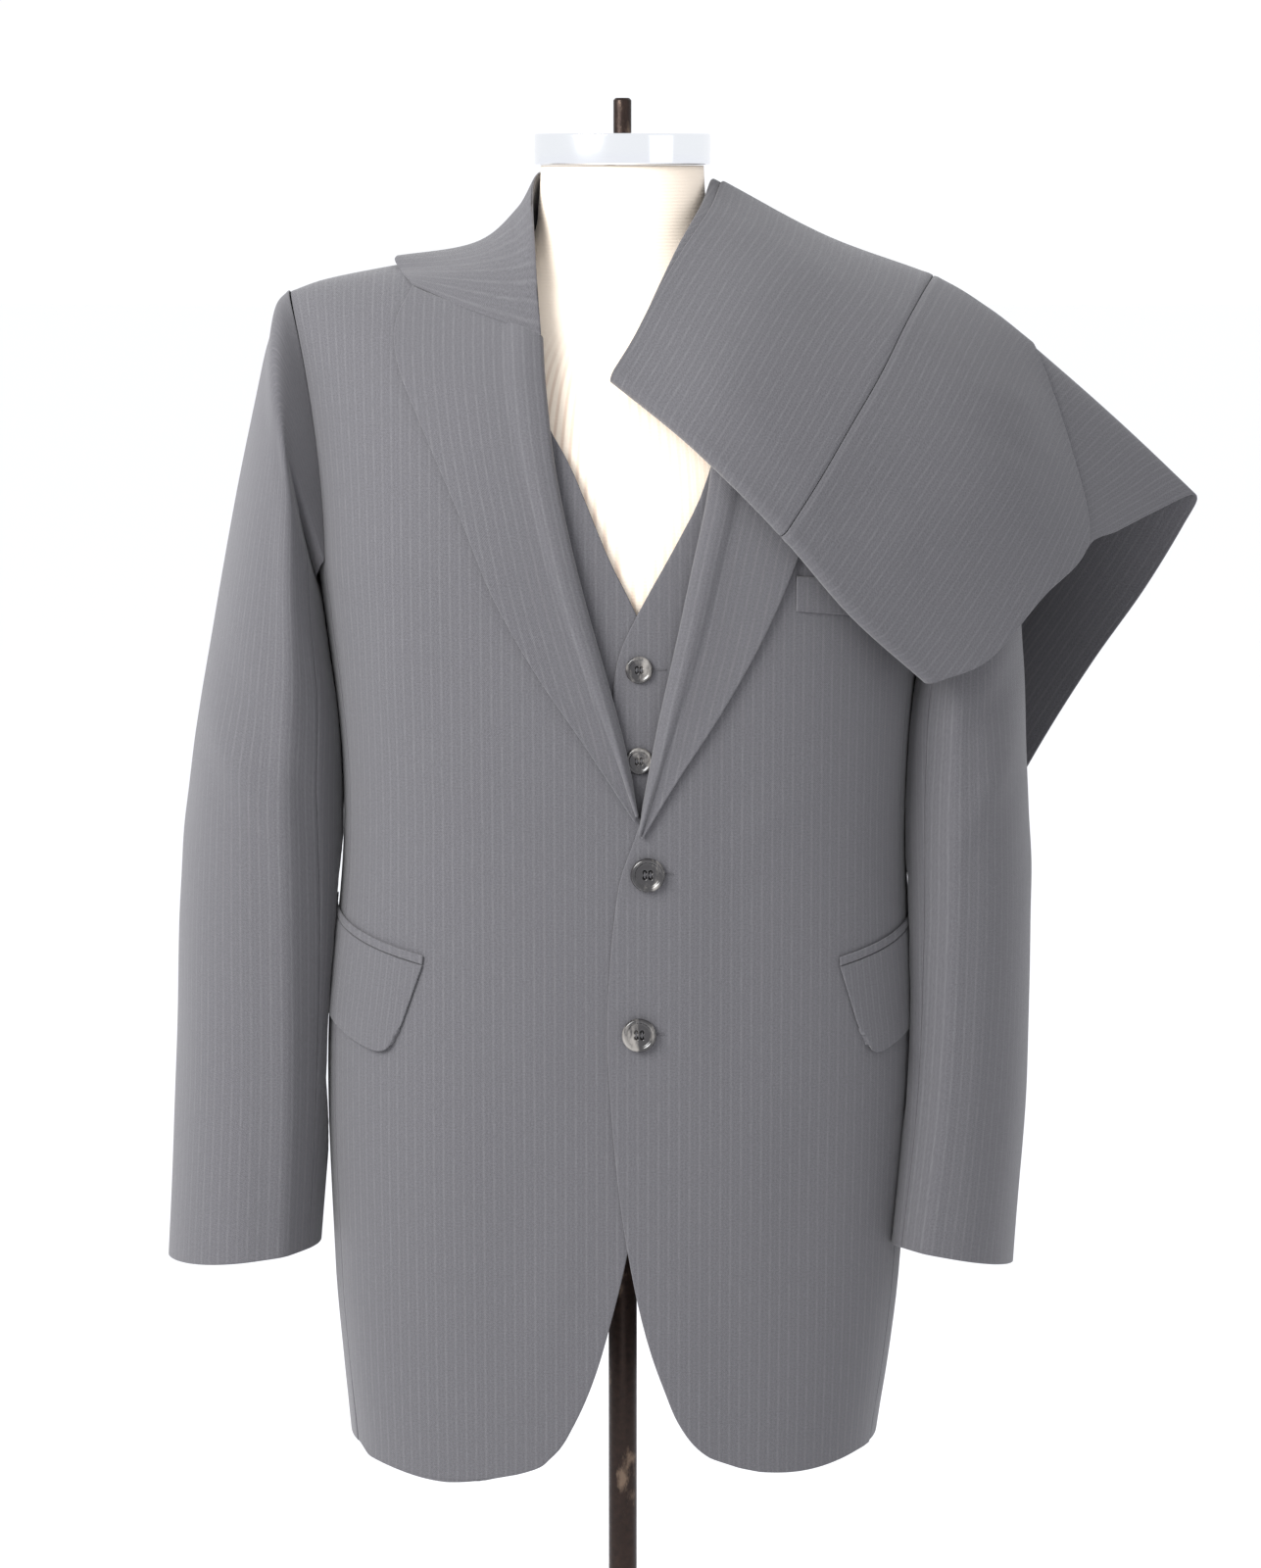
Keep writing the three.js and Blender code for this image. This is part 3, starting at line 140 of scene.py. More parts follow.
CHEST_MIDDLE = (0, 0, 1.3)
lamp("window_left", (-1.5, -1.5, 2.35), CHEST_MIDDLE, size=1.3, watts=84, colour="#ffffff")
lamp("fill_right", (2.6, -2.0, 1.9), CHEST_MIDDLE, size=2.0, watts=4, colour="#f4f6ff")


FLOOR = 40
corners = [(-FLOOR, -FLOOR, 0), (FLOOR, -FLOOR, 0), (FLOOR, FLOOR, 0), (-FLOOR, FLOOR, 0)]
floor_mesh = bpy.data.meshes.new("floor")
floor_mesh.from_pydata(corners, [], [(0, 1, 2, 3)])
floor_mesh.materials.append(new_material("pale_floor", Base_Color=linear("#fdfdff"), Roughness=0.9)[0])
floor = bpy.data.objects.new("floor", floor_mesh)
bpy.context.scene.collection.objects.link(floor)

# %% [markdown]
# ## Worsted suiting
# The cloth is worsted wool in plain grey with pale pinstripes 6.8 mm apart and a finer
# one between them. Worsted yarn is combed, so the surface is matt with very little fuzz.
# The pattern is drawn in the cloth's own coordinates, which each panel carries in metres:
# the first runs across the stripes and the second along them. The twill is about 0.5 mm
# in the real cloth and is drawn at 1.3 mm, so that it still shows from a few steps away.

# %% Worsted suiting
STRIPE = dict(pitch=0.0068, main=0.0014, fine=0.0011, colour="#8e8e8f")
TWILL_PITCH = 0.0013


def pin_line(tree, across, pitch, width):
    """1 on a line of the given width at every pitch, soft at its edges, else 0."""
    turns = add_node(tree, "Math", across, pitch, operation="DIVIDE")
    share = add_node(tree, "Math", turns, operation="FRACT")
    middle = add_node(tree, "Math", share, 0.5, operation="SUBTRACT")
    off = add_node(tree, "Math", middle, operation="ABSOLUTE")
    return add_node(tree, "MapRange", off, From_Min=width / pitch, From_Max=0.0,
                    interpolation_type="SMOOTHSTEP")


def suiting(name, shade, speckle, hair):
    """Grey worsted with pinstripes, from the yarn's ground colour and its two mixed-in ones."""
    material, tree, shader = new_material(name, Roughness=0.86, Sheen_Weight=0.22, Sheen_Roughness=0.5,
                                          Specular_IOR_Level=0.25)
    place = add_node(tree, "UVMap", uv_map="cloth")
    across, along = add_node(tree, "SeparateXYZ", place).node.outputs[:2]
    drawn = add_node(tree, "Mapping", place, Scale=(1.0, 0.12, 1.0))
    mottle = add_node(tree, "TexNoise", place, Scale=900, Detail=3, Roughness=0.7)
    mottle = add_node(tree, "MapRange", mottle, From_Min=0.3, From_Max=0.7)
    yarn = add_node(tree, "TexNoise", drawn, Scale=1500, Detail=2, Roughness=0.6)
    yarn = add_node(tree, "Math", yarn, 0.35, operation="MULTIPLY")
    ground = add_node(tree, "Mix", mottle, i6=linear(shade), i7=linear(speckle), data_type="RGBA", out=2)
    ground = add_node(tree, "Mix", yarn, i6=ground, i7=linear(hair), data_type="RGBA", out=2)

    # The real stripe is a broken yarn, so its strength runs from a half to one and a quarter in dashes.
    dash = add_node(tree, "TexNoise", drawn, Scale=700, Detail=1, Roughness=0.5)
    dash = add_node(tree, "MapRange", dash, From_Min=0.35, From_Max=0.62)
    dash = add_node(tree, "Math", dash, 0.75, 0.5, operation="MULTIPLY_ADD")
    between = add_node(tree, "Math", across, STRIPE["pitch"] / 2, operation="ADD")
    main = add_node(tree, "Math", pin_line(tree, across, STRIPE["pitch"], STRIPE["main"]), dash,
                    operation="MULTIPLY")
    fine = pin_line(tree, between, STRIPE["pitch"], STRIPE["fine"])
    for line, strength in ((main, 0.105), (fine, 0.035)):
        share = add_node(tree, "Math", line, strength, operation="MULTIPLY")
        pale = linear(STRIPE["colour"])
        ground = add_node(tree, "Mix", share, i6=ground, i7=pale, data_type="RGBA", out=2)
    tree.links.new(ground, shader.inputs["Base Color"])

    twill = add_node(tree, "Math", across, along, operation="ADD")
    twill = add_node(tree, "Math", twill, 2 * math.pi / TWILL_PITCH, operation="MULTIPLY")
    rib = add_node(tree, "Math", twill, operation="SINE")
    relief = add_node(tree, "Math", rib, 0.4, mottle, operation="MULTIPLY_ADD")
    bump = add_node(tree, "Bump", Strength=0.35, Distance=0.0004, Height=relief)
    tree.links.new(bump, shader.inputs["Normal"])
    return material


WORSTED = suiting("worsted_pinstripe", shade="#4c4b4e", speckle="#636266", hair="#424144")
print("material", WORSTED.name)

# %% [markdown]
# ## Smooth curves through short tables
# A pattern cutter works from a few measures and joins them with a smooth curve. The two
# helpers here do the same: `lookup` reads a table whose rows stand at uneven heights, and
# `weights` gives a smooth curve through points that are evenly spaced.

# %% Curves
MM = 0.001


def ease(low, high, value):
    """0 below low, 1 above high, and three t squared minus two t cubed between."""
    t = np.clip((value - low) / (high - low), 0, 1)
    return t * t * (3 - 2 * t)


def lookup(keys, values, at):
    """Cubic curve through (key, value) rows, its slope at a row being that of its neighbours' chord."""
    k, y, at = np.asarray(keys, float), np.asarray(values, float), np.asarray(at, float)
    i = np.clip(np.searchsorted(k, at, "left") - 1, 0, len(k) - 2)
    before, after = np.maximum(i - 1, 0), np.minimum(i + 2, len(k) - 1)
    span = k[i + 1] - k[i]
    t = np.clip((at - k[i]) / span, 0, 1)
    slope_a = (y[i + 1] - y[before]) / (k[i + 1] - k[before]) * span
    slope_b = (y[after] - y[i]) / (k[after] - k[i]) * span
    return ((2 * t**3 - 3 * t**2 + 1) * y[i] + (t**3 - 2 * t**2 + t) * slope_a
            + (-2 * t**3 + 3 * t**2) * y[i + 1] + (t**3 - t**2) * slope_b)


def weights(count, at):
    """Share of each of `count` evenly spaced points in a smooth curve, at places 0 to count - 1."""
    at = np.asarray(at, float)
    i = np.clip(np.floor(at).astype(int), 0, count - 2)
    t = at - i
    shares = 0.5 * np.stack([-t + 2 * t**2 - t**3, 2 - 5 * t**2 + 3 * t**3,
                             t + 4 * t**2 - 3 * t**3, -t**2 + t**3])
    table = np.zeros((len(at), count + 2))
    rows = np.arange(len(at))
    for step in range(4):
        np.add.at(table, (rows, i + step), shares[step])
    inner = table[:, 1:-1].copy()
    inner[:, 0] += 2 * table[:, 0]
    inner[:, 1] -= table[:, 0]
    inner[:, -1] += 2 * table[:, -1]
    inner[:, -2] -= table[:, -1]
    return inner


def refine(rows, parts):
    """Each stretch between two rows cut into equal parts."""
    rows = np.asarray(rows, float)
    cuts = rows[:-1, None] + np.diff(rows)[:, None] * np.arange(parts) / parts
    return np.append(cuts.ravel(), rows[-1])


def crowded(count, length, edge=(0.22, 0.55, 1.0)):
    """0 to 1 in even steps, with three more steps close to each end for the rounded edge."""
    near = np.array(edge) / length
    middle = np.linspace(near[-1], 1 - near[-1], count)
    return np.concatenate([[0], near[:-1], middle, 1 - near[:-1][::-1], [1]])


print("halfway between rows 0, 1, 4 and 9:", float(lookup([0, 1, 2, 3], [0, 1, 4, 9], 1.5)))

# %% [markdown]
# ## From a grid to a wall of cloth
# A sheet of cloth is one closed surface: a face, a back, and an edge that turns over
# between them. The wall is laid on both sides of the middle surface. Close to each edge it
# thins along a quarter circle, so that the edge comes out round, as a folded and pressed
# edge is. A smooth field of shallow troughs and ridges can be added along the normal.

# %% Grids
CLOTH = 1.5
EDGE_ROUND = 0.9


def normals_of(points, turn):
    """Unit normals: the cross product of the two grid directions, times turn."""
    across = np.gradient(points, axis=0)
    along = np.gradient(points, axis=1)
    normal = np.cross(across, along) * turn
    return normal / np.maximum(np.linalg.norm(normal, axis=2, keepdims=True), 1e-9)


def lengths(points, axis):
    """Distance along the grid in one direction, from its first line."""
    steps = np.linalg.norm(np.diff(points, axis=axis), axis=2)
    return np.concatenate([np.zeros_like(np.take(steps, [0], axis)), np.cumsum(steps, axis)], axis)


def grid_faces(index, flip=False, closed=None):
    """Four-cornered faces of a grid of vertex numbers; closed is the axis on which it runs round."""
    if closed is not None:
        index = np.concatenate([index, np.take(index, [0], closed)], closed)
    corners = [index[:-1, :-1], index[1:, :-1], index[1:, 1:], index[:-1, 1:]]
    return np.stack(corners[::-1] if flip else corners, -1).reshape(-1, 4)


def lid(ring, flip=False):
    """Closes a ring of vertex numbers with strips from one half of it to the other."""
    k = np.arange(len(ring) // 2 - 1)
    strips = np.stack([ring[k], ring[k + 1], ring[-2 - k], ring[-1 - k]], -1)
    return strips[:, ::-1] if flip else strips


print("cloth", CLOTH, "mm thick, its edges rounded over", EDGE_ROUND, "mm")

# %% [markdown]
# Every mesh is made in one place, from arrays in millimetres. There it is set to ride on the
# body, gets its slot and is told which solid it stands for. A cloth piece also notes the cut
# it came from, which the last cell declares.

# %% A mesh from arrays
def build(name, vertices, faces, material, node=None, uv=None):
    """A mesh from arrays in millimetres, riding on the one body, in place of a CAD node."""
    corners = np.concatenate([part.ravel() for part in faces]).astype(np.int32)
    counts = np.concatenate([np.full(len(part), part.shape[1]) for part in faces])
    mesh = bpy.data.meshes.new(name)
    mesh.vertices.add(len(vertices))
    mesh.vertices.foreach_set("co", (vertices * MM).astype(np.float32).ravel())
    mesh.loops.add(len(corners))
    mesh.loops.foreach_set("vertex_index", corners)
    mesh.polygons.add(len(counts))
    mesh.polygons.foreach_set("loop_start", (np.cumsum(counts) - counts).astype(np.int32))
    mesh.polygons.foreach_set("use_smooth", np.ones(len(counts), bool))
    if uv is not None:
        layer = mesh.uv_layers.new(name="cloth")
        layer.data.foreach_set("uv", (uv[corners] * MM).astype(np.float32).ravel())
    mesh.update(calc_edges=True)
    mesh.validate()
    mesh.materials.append(material)
    obj = bpy.data.objects.new(name, mesh)
    bpy.context.scene.collection.objects.link(obj)
    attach(obj, "root")
    if node:
        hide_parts(node)
    return obj


# %% [markdown]
# The points that a wall is given are its outside, and its middle lies half a thickness under
# them. Face and back share the outermost line of vertices, so the wall closes with no rim.

# %% Cloth walls
SHEETS = {}


def cloth(name, points, turn, stripes, lift=0.0, thick=CLOTH, relief=0.0, rests=(), held="draped"):
    """A wall on a grid of points, in place of the CAD node of its name.

    Its half thickness near an edge is that of a quarter circle: thick / 2 times the root of
    1 - (1 - distance / EDGE_ROUND) squared. lift moves it out along the normal; relief is the folds.
    """
    outward = np.broadcast_to(np.asarray(lift + relief, float), points.shape[:2]) - thick / 2
    middle = points + normals_of(points, turn) * outward[..., None]
    across, along = lengths(middle, 0), lengths(middle, 1)
    to_edge = np.minimum(np.minimum(across, across[-1:] - across), np.minimum(along, along[:, -1:] - along))
    half = thick / 2 * np.sqrt(1 - (1 - np.clip(to_edge / EDGE_ROUND, 0, 1)) ** 2)
    offset = normals_of(middle, turn) * half[..., None]
    columns, rows = points.shape[:2]
    outer = np.arange(columns * rows).reshape(columns, rows)
    inner = outer.copy()
    inner[1:-1, 1:-1] = columns * rows + np.arange((columns - 2) * (rows - 2)).reshape(columns - 2, rows - 2)
    face, back = middle + offset, (middle - offset)[1:-1, 1:-1]
    vertices = np.concatenate([face.reshape(-1, 3), back.reshape(-1, 3)])
    faces = [grid_faces(outer, turn < 0), grid_faces(inner, turn > 0)]
    pattern = np.stack(np.broadcast_arrays(*stripes), -1)
    uv = np.concatenate([pattern.reshape(-1, 2), pattern[1:-1, 1:-1].reshape(-1, 2)])
    piece = build(name, vertices, faces, WORSTED, name, uv=uv)
    declare(name, piece, middle, held, rests, across[-1].max() * MM, along[:, -1].max() * MM)
    return piece


def declare(name, piece, middle, held, rests, wide, long):
    """Notes a sheet's cut, in metres; its area is the sum of its cells, each two sides' cross product."""
    sides = np.cross(middle[1:, :-1] - middle[:-1, :-1], middle[:-1, 1:] - middle[:-1, :-1])
    area = float(np.linalg.norm(sides, axis=2).sum()) * MM * MM
    SHEETS[name] = dict(piece=piece, flat=(float(wide), float(long)), area=area, held=held,
                        rests_on=rests, trims=[])
    print(f"{name}: {len(piece.data.polygons)} faces, cut {wide:.3f} x {long:.3f} m, {area:.3f} m2")


print("a wall's middle lies", CLOTH / 2, "mm under the points it is given")

# %% [markdown]
# ## The shape of a jacket body
# A worn jacket is a tube that fits over the chest. Below the armholes its level sections
# are rounded rectangles (superellipses) whose half width, front and back depth change
# with height. Above them the cloth closes over the shoulders as an arch, up to the
# shoulder seam. The same two formulas carry the waistcoat, the lapels and the pockets.

# %% Measures of the body
LEFT, RIGHT = 1, -1
SEAM = 0.3
LIFT = 0.6
CHEST_LINE = 1290
RING_SQUARE = 2.7
ARCH_SQUARE = 2.1
SEAM_REACH = 0.961
ARC = 220
BODY = dict(
    z=[640, 690, 740, 800, 960, 1090, 1165, 1290, 1320],
    half=[178, 183, 189, 194.5, 200.5, 191.5, 192.5, 205, 207],
    front=[119, 122, 124, 126, 130, 133, 138, 145, 145],
    back=[127, 129, 130, 130, 125, 108, 113, 128, 129],
    middle=[-7, -6, -4.5, -3.5, -1, 1.5, 2, 0, 0],
)
SHOULDER = {
    RIGHT: dict(x=[0, 60, 80, 110, 150, 200, 224], z=[1507, 1503, 1497, 1489.5, 1482.5, 1472.5, 1464]),
    LEFT: dict(x=[0, 60, 80, 110, 150, 200, 224], z=[1507, 1502, 1494, 1484, 1472, 1459, 1450]),
}
ARMHOLE_FOOT, ARMHOLE_FLARE, ARMHOLE_DIP = 197, 25, 16


def body(name, z):
    """One of the body's measures at height z."""
    return lookup(BODY["z"], BODY[name], z)


def shoulder_height(side, x):
    """Height of the shoulder seam at a distance x from the middle."""
    return lookup(SHOULDER[side]["x"], SHOULDER[side]["z"], np.abs(x))


def armhole_reach(rise):
    """The armhole's distance from the middle grows towards the shoulder with the 1.8 power."""
    return ARMHOLE_FOOT + ARMHOLE_FLARE * rise**1.8


def round_off(share, square):
    """Share of the depth left at a share of the width, on a superellipse."""
    return np.maximum(0, 1 - np.abs(share) ** square) ** (1 / square)


def arch(h):
    """How far a row has risen, and what depth is left: a quarter superellipse over ARC mm."""
    angle = np.clip(h / ARC, 0, 1) * math.pi / 2
    return np.sin(angle) ** (2 / ARCH_SQUARE), np.abs(np.cos(angle)) ** (2 / ARCH_SQUARE)


print("half the chest", float(body("half", CHEST_LINE)), "mm, armhole foot", ARMHOLE_FOOT, "mm out")

# %% [markdown]
# A row h is a distance above the chest line. Below it a row is level; above it a row is one
# step of the arch. `panel_point` gives the surface from reach and row, and the functions
# after it go the other way, from a place on the chest to its reach, height or depth.

# %% Front and back surfaces
def panel_point(side, face, reach, h):
    """A point of a front (face -1) or back (+1): reach 0 to 1 from the middle to the seam, at row h."""
    reach, h = np.broadcast_arrays(np.asarray(reach, float), np.asarray(h, float))
    depth = "front" if face < 0 else "back"
    rounded = round_off(reach * SEAM_REACH, RING_SQUARE)
    z_low = CHEST_LINE + np.minimum(h, 0)
    x_low = body("middle", z_low) + side * reach * SEAM_REACH * body("half", z_low)
    low = np.stack([x_low, face * body(depth, z_low) * rounded, z_low], -1)
    rise, left = arch(h)
    x = side * reach * armhole_reach(rise)
    z = CHEST_LINE + (shoulder_height(side, x) - CHEST_LINE) * rise
    high = np.stack([x, face * (SEAM / 2 + body(depth, CHEST_LINE) * rounded * left), z], -1)
    return np.where((h <= 0)[..., None], low, high)


def reach_at(side, x, h):
    """The reach at which row h passes x."""
    z = CHEST_LINE + np.minimum(h, 0)
    low = side * (x - body("middle", z)) / (SEAM_REACH * body("half", z))
    return np.where(h <= 0, low, side * x / armhole_reach(arch(h)[0]))


def height_at(side, x, h):
    """Height of row h at x."""
    above = (shoulder_height(side, x) - CHEST_LINE) * arch(h)[0]
    return CHEST_LINE + np.where(h <= 0, h, above)


def front_at(x, z):
    """The jacket front's surface straight behind (x, z), and its outward normal from its slopes."""
    def depth_at(px, pz):
        side_height = np.where(px < 0, shoulder_height(RIGHT, px), shoulder_height(LEFT, px))
        low = body("front", pz) * round_off((px - body("middle", pz)) / body("half", pz), RING_SQUARE)
        rise = np.clip((pz - CHEST_LINE) / (side_height - CHEST_LINE), 0, 1)
        share = px / armhole_reach(rise) * SEAM_REACH
        high = body("front", CHEST_LINE) * round_off(share, RING_SQUARE) * round_off(rise, ARCH_SQUARE)
        return np.where(pz <= CHEST_LINE, low, high)
    step = 0.5
    slope_x = (depth_at(x + step, z) - depth_at(x - step, z)) / (2 * step)
    slope_z = (depth_at(x, z + step) - depth_at(x, z - step)) / (2 * step)
    normal = np.stack([-slope_x, -np.ones_like(slope_x), -slope_z], -1)
    normal /= np.linalg.norm(normal, axis=-1, keepdims=True)
    return np.stack([x, -depth_at(x, z), z], -1), normal


print("at 1.1 m the front lies", float(-front_at(np.array(0.0), np.array(1100.0))[0][1]), "mm forward")

# %% [markdown]
# The flank closes the section between the front's side seam and the back's. It is the same
# superellipse, read by its depth instead of its width.

# %% Flank
FLANK_GAP = 0.001
FLANK_DEPTH = float(round_off(SEAM_REACH, RING_SQUARE))


def flank_point(side, q, z):
    """A point of the flank: q runs from the front side seam (-1) to the back one (1)."""
    share = np.abs(q) * FLANK_DEPTH
    depth = np.where(q < 0, body("front", z), body("back", z))
    x = body("middle", z) + side * body("half", z) * round_off(share, RING_SQUARE)
    return np.stack(np.broadcast_arrays(x, np.sign(q) * share * depth, z), -1)


print("flank starts at", round(FLANK_DEPTH, 3), "of the depth")

# %% [markdown]
# ## Folds
# Pressed suiting is stiff, so it shows few folds: a faint pull where the button closes
# the front, a slack run from the armpit, and slow waves towards the hem. Each is a soft
# trough or ridge along a short line. The same field is added to every layer that lies
# there, so that what rests on the cloth moves with it.

# %% Folds of the jacket body
# Each row: x and z of both ends, width, and height (less than 0 for a trough), in mm.
FRONT_FOLDS = [
    (-150, 1180, -60, 1120, 13, 0.9), (-120, 1140, -40, 1085, 11, -0.7), (-165, 1090, -70, 1092, 12, 0.6),
    (-60, 1060, -45, 900, 22, 0.9), (-120, 980, -112, 760, 30, 1.4), (-60, 930, -85, 720, 26, -1.1),
    (-165, 1330, -170, 1180, 16, -1.2), (-150, 1300, -145, 1150, 20, 1.0), (60, 1100, 130, 1150, 12, 0.8),
    (45, 1075, 120, 1080, 11, -0.6), (70, 1000, 80, 800, 26, 1.2), (130, 980, 120, 740, 28, -1.2),
    (165, 1200, 150, 1080, 16, 0.9), (30, 960, 55, 760, 18, -0.7), (-30, 880, -60, 740, 15, 0.8),
]
BACK_FOLDS = [
    (-120, 1400, -60, 1330, 24, 1.6), (40, 1330, 120, 1390, 26, 1.5), (-150, 1300, -140, 1120, 22, 1.8),
    (150, 1290, 140, 1110, 20, 1.6), (-70, 1120, 60, 1095, 16, 1.4), (-90, 1085, 80, 1065, 14, -1.2),
    (-60, 1010, -95, 760, 30, 1.8), (70, 1000, 105, 740, 28, 1.7), (-130, 950, -135, 730, 24, -1.2),
    (20, 1260, 30, 1150, 20, -1.0), (-25, 980, -40, 820, 20, -1.1), (35, 960, 45, 800, 18, 1.0),
]


def fold_field(first, second, table):
    """Sum of soft lines: height times exp(-(distance / width)^2), faded in uneven steps to the ends."""
    total = np.zeros(np.broadcast(first, second).shape)
    for k, (x0, z0, x1, z1, width, height) in enumerate(table):
        dx, dz = x1 - x0, z1 - z0
        t = ((first - x0) * dx + (second - z0) * dz) / (dx * dx + dz * dz)
        near = np.clip(t, 0, 1)
        away = np.hypot(first - x0 - near * dx, second - z0 - near * dz)
        uneven = 1 + 0.35 * np.sin(5.1 * t + 1.7 * k)
        total += height * uneven * np.exp(-(away / width) ** 2) * (0.25 + 0.75 * np.sin(math.pi * near) ** 2)
    return total


def body_relief(points, face):
    """The body's folds at some points: the front's for face -1, else the back's."""
    return fold_field(points[..., 0], points[..., 2], FRONT_FOLDS if face < 0 else BACK_FOLDS)


print("folds in front", len(FRONT_FOLDS), "and behind", len(BACK_FOLDS))

# %% [markdown]
# ## Jacket fronts
# Each front runs from the cut-away hem up to the shoulder seam. Its edge is a curve from a
# table of heights; the grid fills the space from that edge to the side seam. The left
# front laps over the right, so it stands nearly 2 mm further out near the edge. Pinstripes
# stay upright: the cloth's first coordinate is the distance round the chest.

# %% Jacket fronts
ARCH_ROWS = [30, 65, 98, 128, 154, 176, 194, 208, ARC]
BODY_ROWS = [-525, -465, -405, -345, -290, -240, -195, -150, -100, -50, 0]
HEM = 684 - CHEST_LINE
LEFT_EDGE = dict(
    z=[685, 687, 694, 714, 742, 775, 817, 875, 959, 1015,
       1085, 1112, 1152, 1196, 1241, 1290, 1326, 1400, 1450, 1510],
    x=[92, 77, 57, 39.5, 27.5, 16.5, 7, -2, -9, -9,
       -2, 7, 20, 29, 39, 50, 57, 66, 68, 75],
)
RIGHT_EDGE = dict(
    z=[679, 682, 693, 715, 751, 802, 833, 875, 960, 1000,
       1060, 1100, 1133, 1203, 1248, 1292, 1333, 1403, 1450, 1510],
    x=[-118, -70, -48, -33, -18, -4, 3, 11, 22, 28,
       32, 31, 9, -11, -24, -35, -43, -55, -63, -76],
)
OVERLAP = dict(lift=1.9, start=36, end=78)
SEAM_SHARE = 0.05 / ARMHOLE_FOOT
HEM_SAG = dict(deep=6.5, start=55, end=185, high=60, corner=0.86)


def edge_x(side, table, h):
    """Where the edge crosses row h, found in three passes as the row's height depends on x."""
    x = np.zeros_like(h)
    for _ in range(3):
        x = lookup(table["z"], table["x"], height_at(side, x, h))
    return x


def overlap_lift(x):
    """How far the left front stands off the right one."""
    return OVERLAP["lift"] * (1 - ease(OVERLAP["start"], OVERLAP["end"], x))


def front_grid(side, table, across, h, reach_end=1.0):
    """A front from its edge to the side seam; its lowest rows sag in a soft wave and square off."""
    start = reach_at(side, edge_x(side, table, h), h)
    reach = start[None, :] + (reach_end - SEAM_SHARE - start)[None, :] * across[:, None]
    points = panel_point(side, -1, reach, np.broadcast_to(h, reach.shape))
    share = np.clip((np.abs(points[..., 0]) - HEM_SAG["start"]) / (HEM_SAG["end"] - HEM_SAG["start"]), 0, 1)
    low = 1 - ease(0, HEM_SAG["high"], points[..., 2] - CHEST_LINE - HEM)
    points[..., 2] -= HEM_SAG["deep"] * np.sin(math.pi * share) ** 2 * low
    points[..., 2] += (HEM - h[0]) * ease(HEM_SAG["corner"], 1, across)[:, None] * low
    return points


ACROSS = crowded(58, 200)
EDGE_ROWS = {LEFT: [*(HEM + np.array([1, 1.3, 1.7, 2.4, 3.2])), -595, -590, -577, -552],
             RIGHT: [*(HEM - np.array([5, 4.7, 4.3, 3.6])), -602, -595, -577, -552]}
front_rows = {side: refine([*EDGE_ROWS[side], *BODY_ROWS, *ARCH_ROWS], 5) for side in (LEFT, RIGHT)}
for side, name, table in ((LEFT, "jacket_front_left", LEFT_EDGE), (RIGHT, "jacket_front_right", RIGHT_EDGE)):
    points = front_grid(side, table, ACROSS, front_rows[side])
    lift = overlap_lift(points[..., 0]) if side == LEFT else 0.0
    across = side * points[0:1, :, 0] + lengths(points, 0)
    cloth(name, points, side, (across, points[..., 2]), lift, relief=body_relief(points, -1),
          rests=["form_torso", "vest_back"])

# %% [markdown]
# ## Side panels and back
# A side panel closes the flank under each arm. The back is cut in two halves that meet in
# a seam down the middle, and below the waist that seam opens as a vent. At the top the
# rows bend down round the neck.

# %% Side panels and back
VENT_TOP, VENT_OPEN = 890 - CHEST_LINE, 24
NECK_DIP, NECK_WIDE = 0.37, 88
SIDE_STRIPES_FROM = 170


def back_row(x, h):
    """A row over the chest line is shortened round the neck by a bell 88 mm wide."""
    short = NECK_DIP * np.maximum(0, 1 - (x / NECK_WIDE) ** 2) ** 1.5
    return np.where(h > 0, h * (1 - short), h)


side_rows = refine([HEM, HEM + 0.4, HEM + 1, *BODY_ROWS[:-1], -1, -0.5, 0], 4)
back_rows = refine([HEM, HEM + 0.4, HEM + 1, -570, *BODY_ROWS, *ARCH_ROWS], 5)
for side, word in ((LEFT, "left"), (RIGHT, "right")):
    q = -1 + FLANK_GAP + (2 - 2 * FLANK_GAP) * crowded(22, 110)[:, None]
    dip = -ARMHOLE_DIP * np.cos(q * math.pi / 2) * ease(-50, 0, side_rows)[None, :]
    points = flank_point(side, np.broadcast_to(q, dip.shape), CHEST_LINE + side_rows[None, :] + dip)
    stripes = (SIDE_STRIPES_FROM + lengths(points, 0), points[..., 2])
    cloth(f"jacket_side_{word}", points, side, stripes, rests=[f"jacket_front_{word}"])

    across = crowded(50, 200)[:, None]
    rows = back_row(ARMHOLE_FOOT * across, back_rows[None, :])
    opened = VENT_OPEN * ease(0, 1, (VENT_TOP - rows) / (VENT_TOP - HEM))
    start = reach_at(side, side * (SEAM / 2 + opened), rows)
    points = panel_point(side, 1, start + (1 - SEAM_SHARE - start) * across, rows)
    stripes = (lengths(points, 0) + np.abs(points[0:1, :, 0]), points[..., 2])
    cloth(f"jacket_back_{word}", points, -side, stripes, relief=body_relief(points, 1),
          rests=["form_torso", "vest_back"])

# %% [markdown]
# ## Lapels
# A lapel is the top of the front turned back over itself. It lies a little clear of the
# chest, rolls over where it turns, and thins to a pressed edge. Its stripes run with the
# fold. The roll is a part circle that carries the cloth down in front of the edge below.

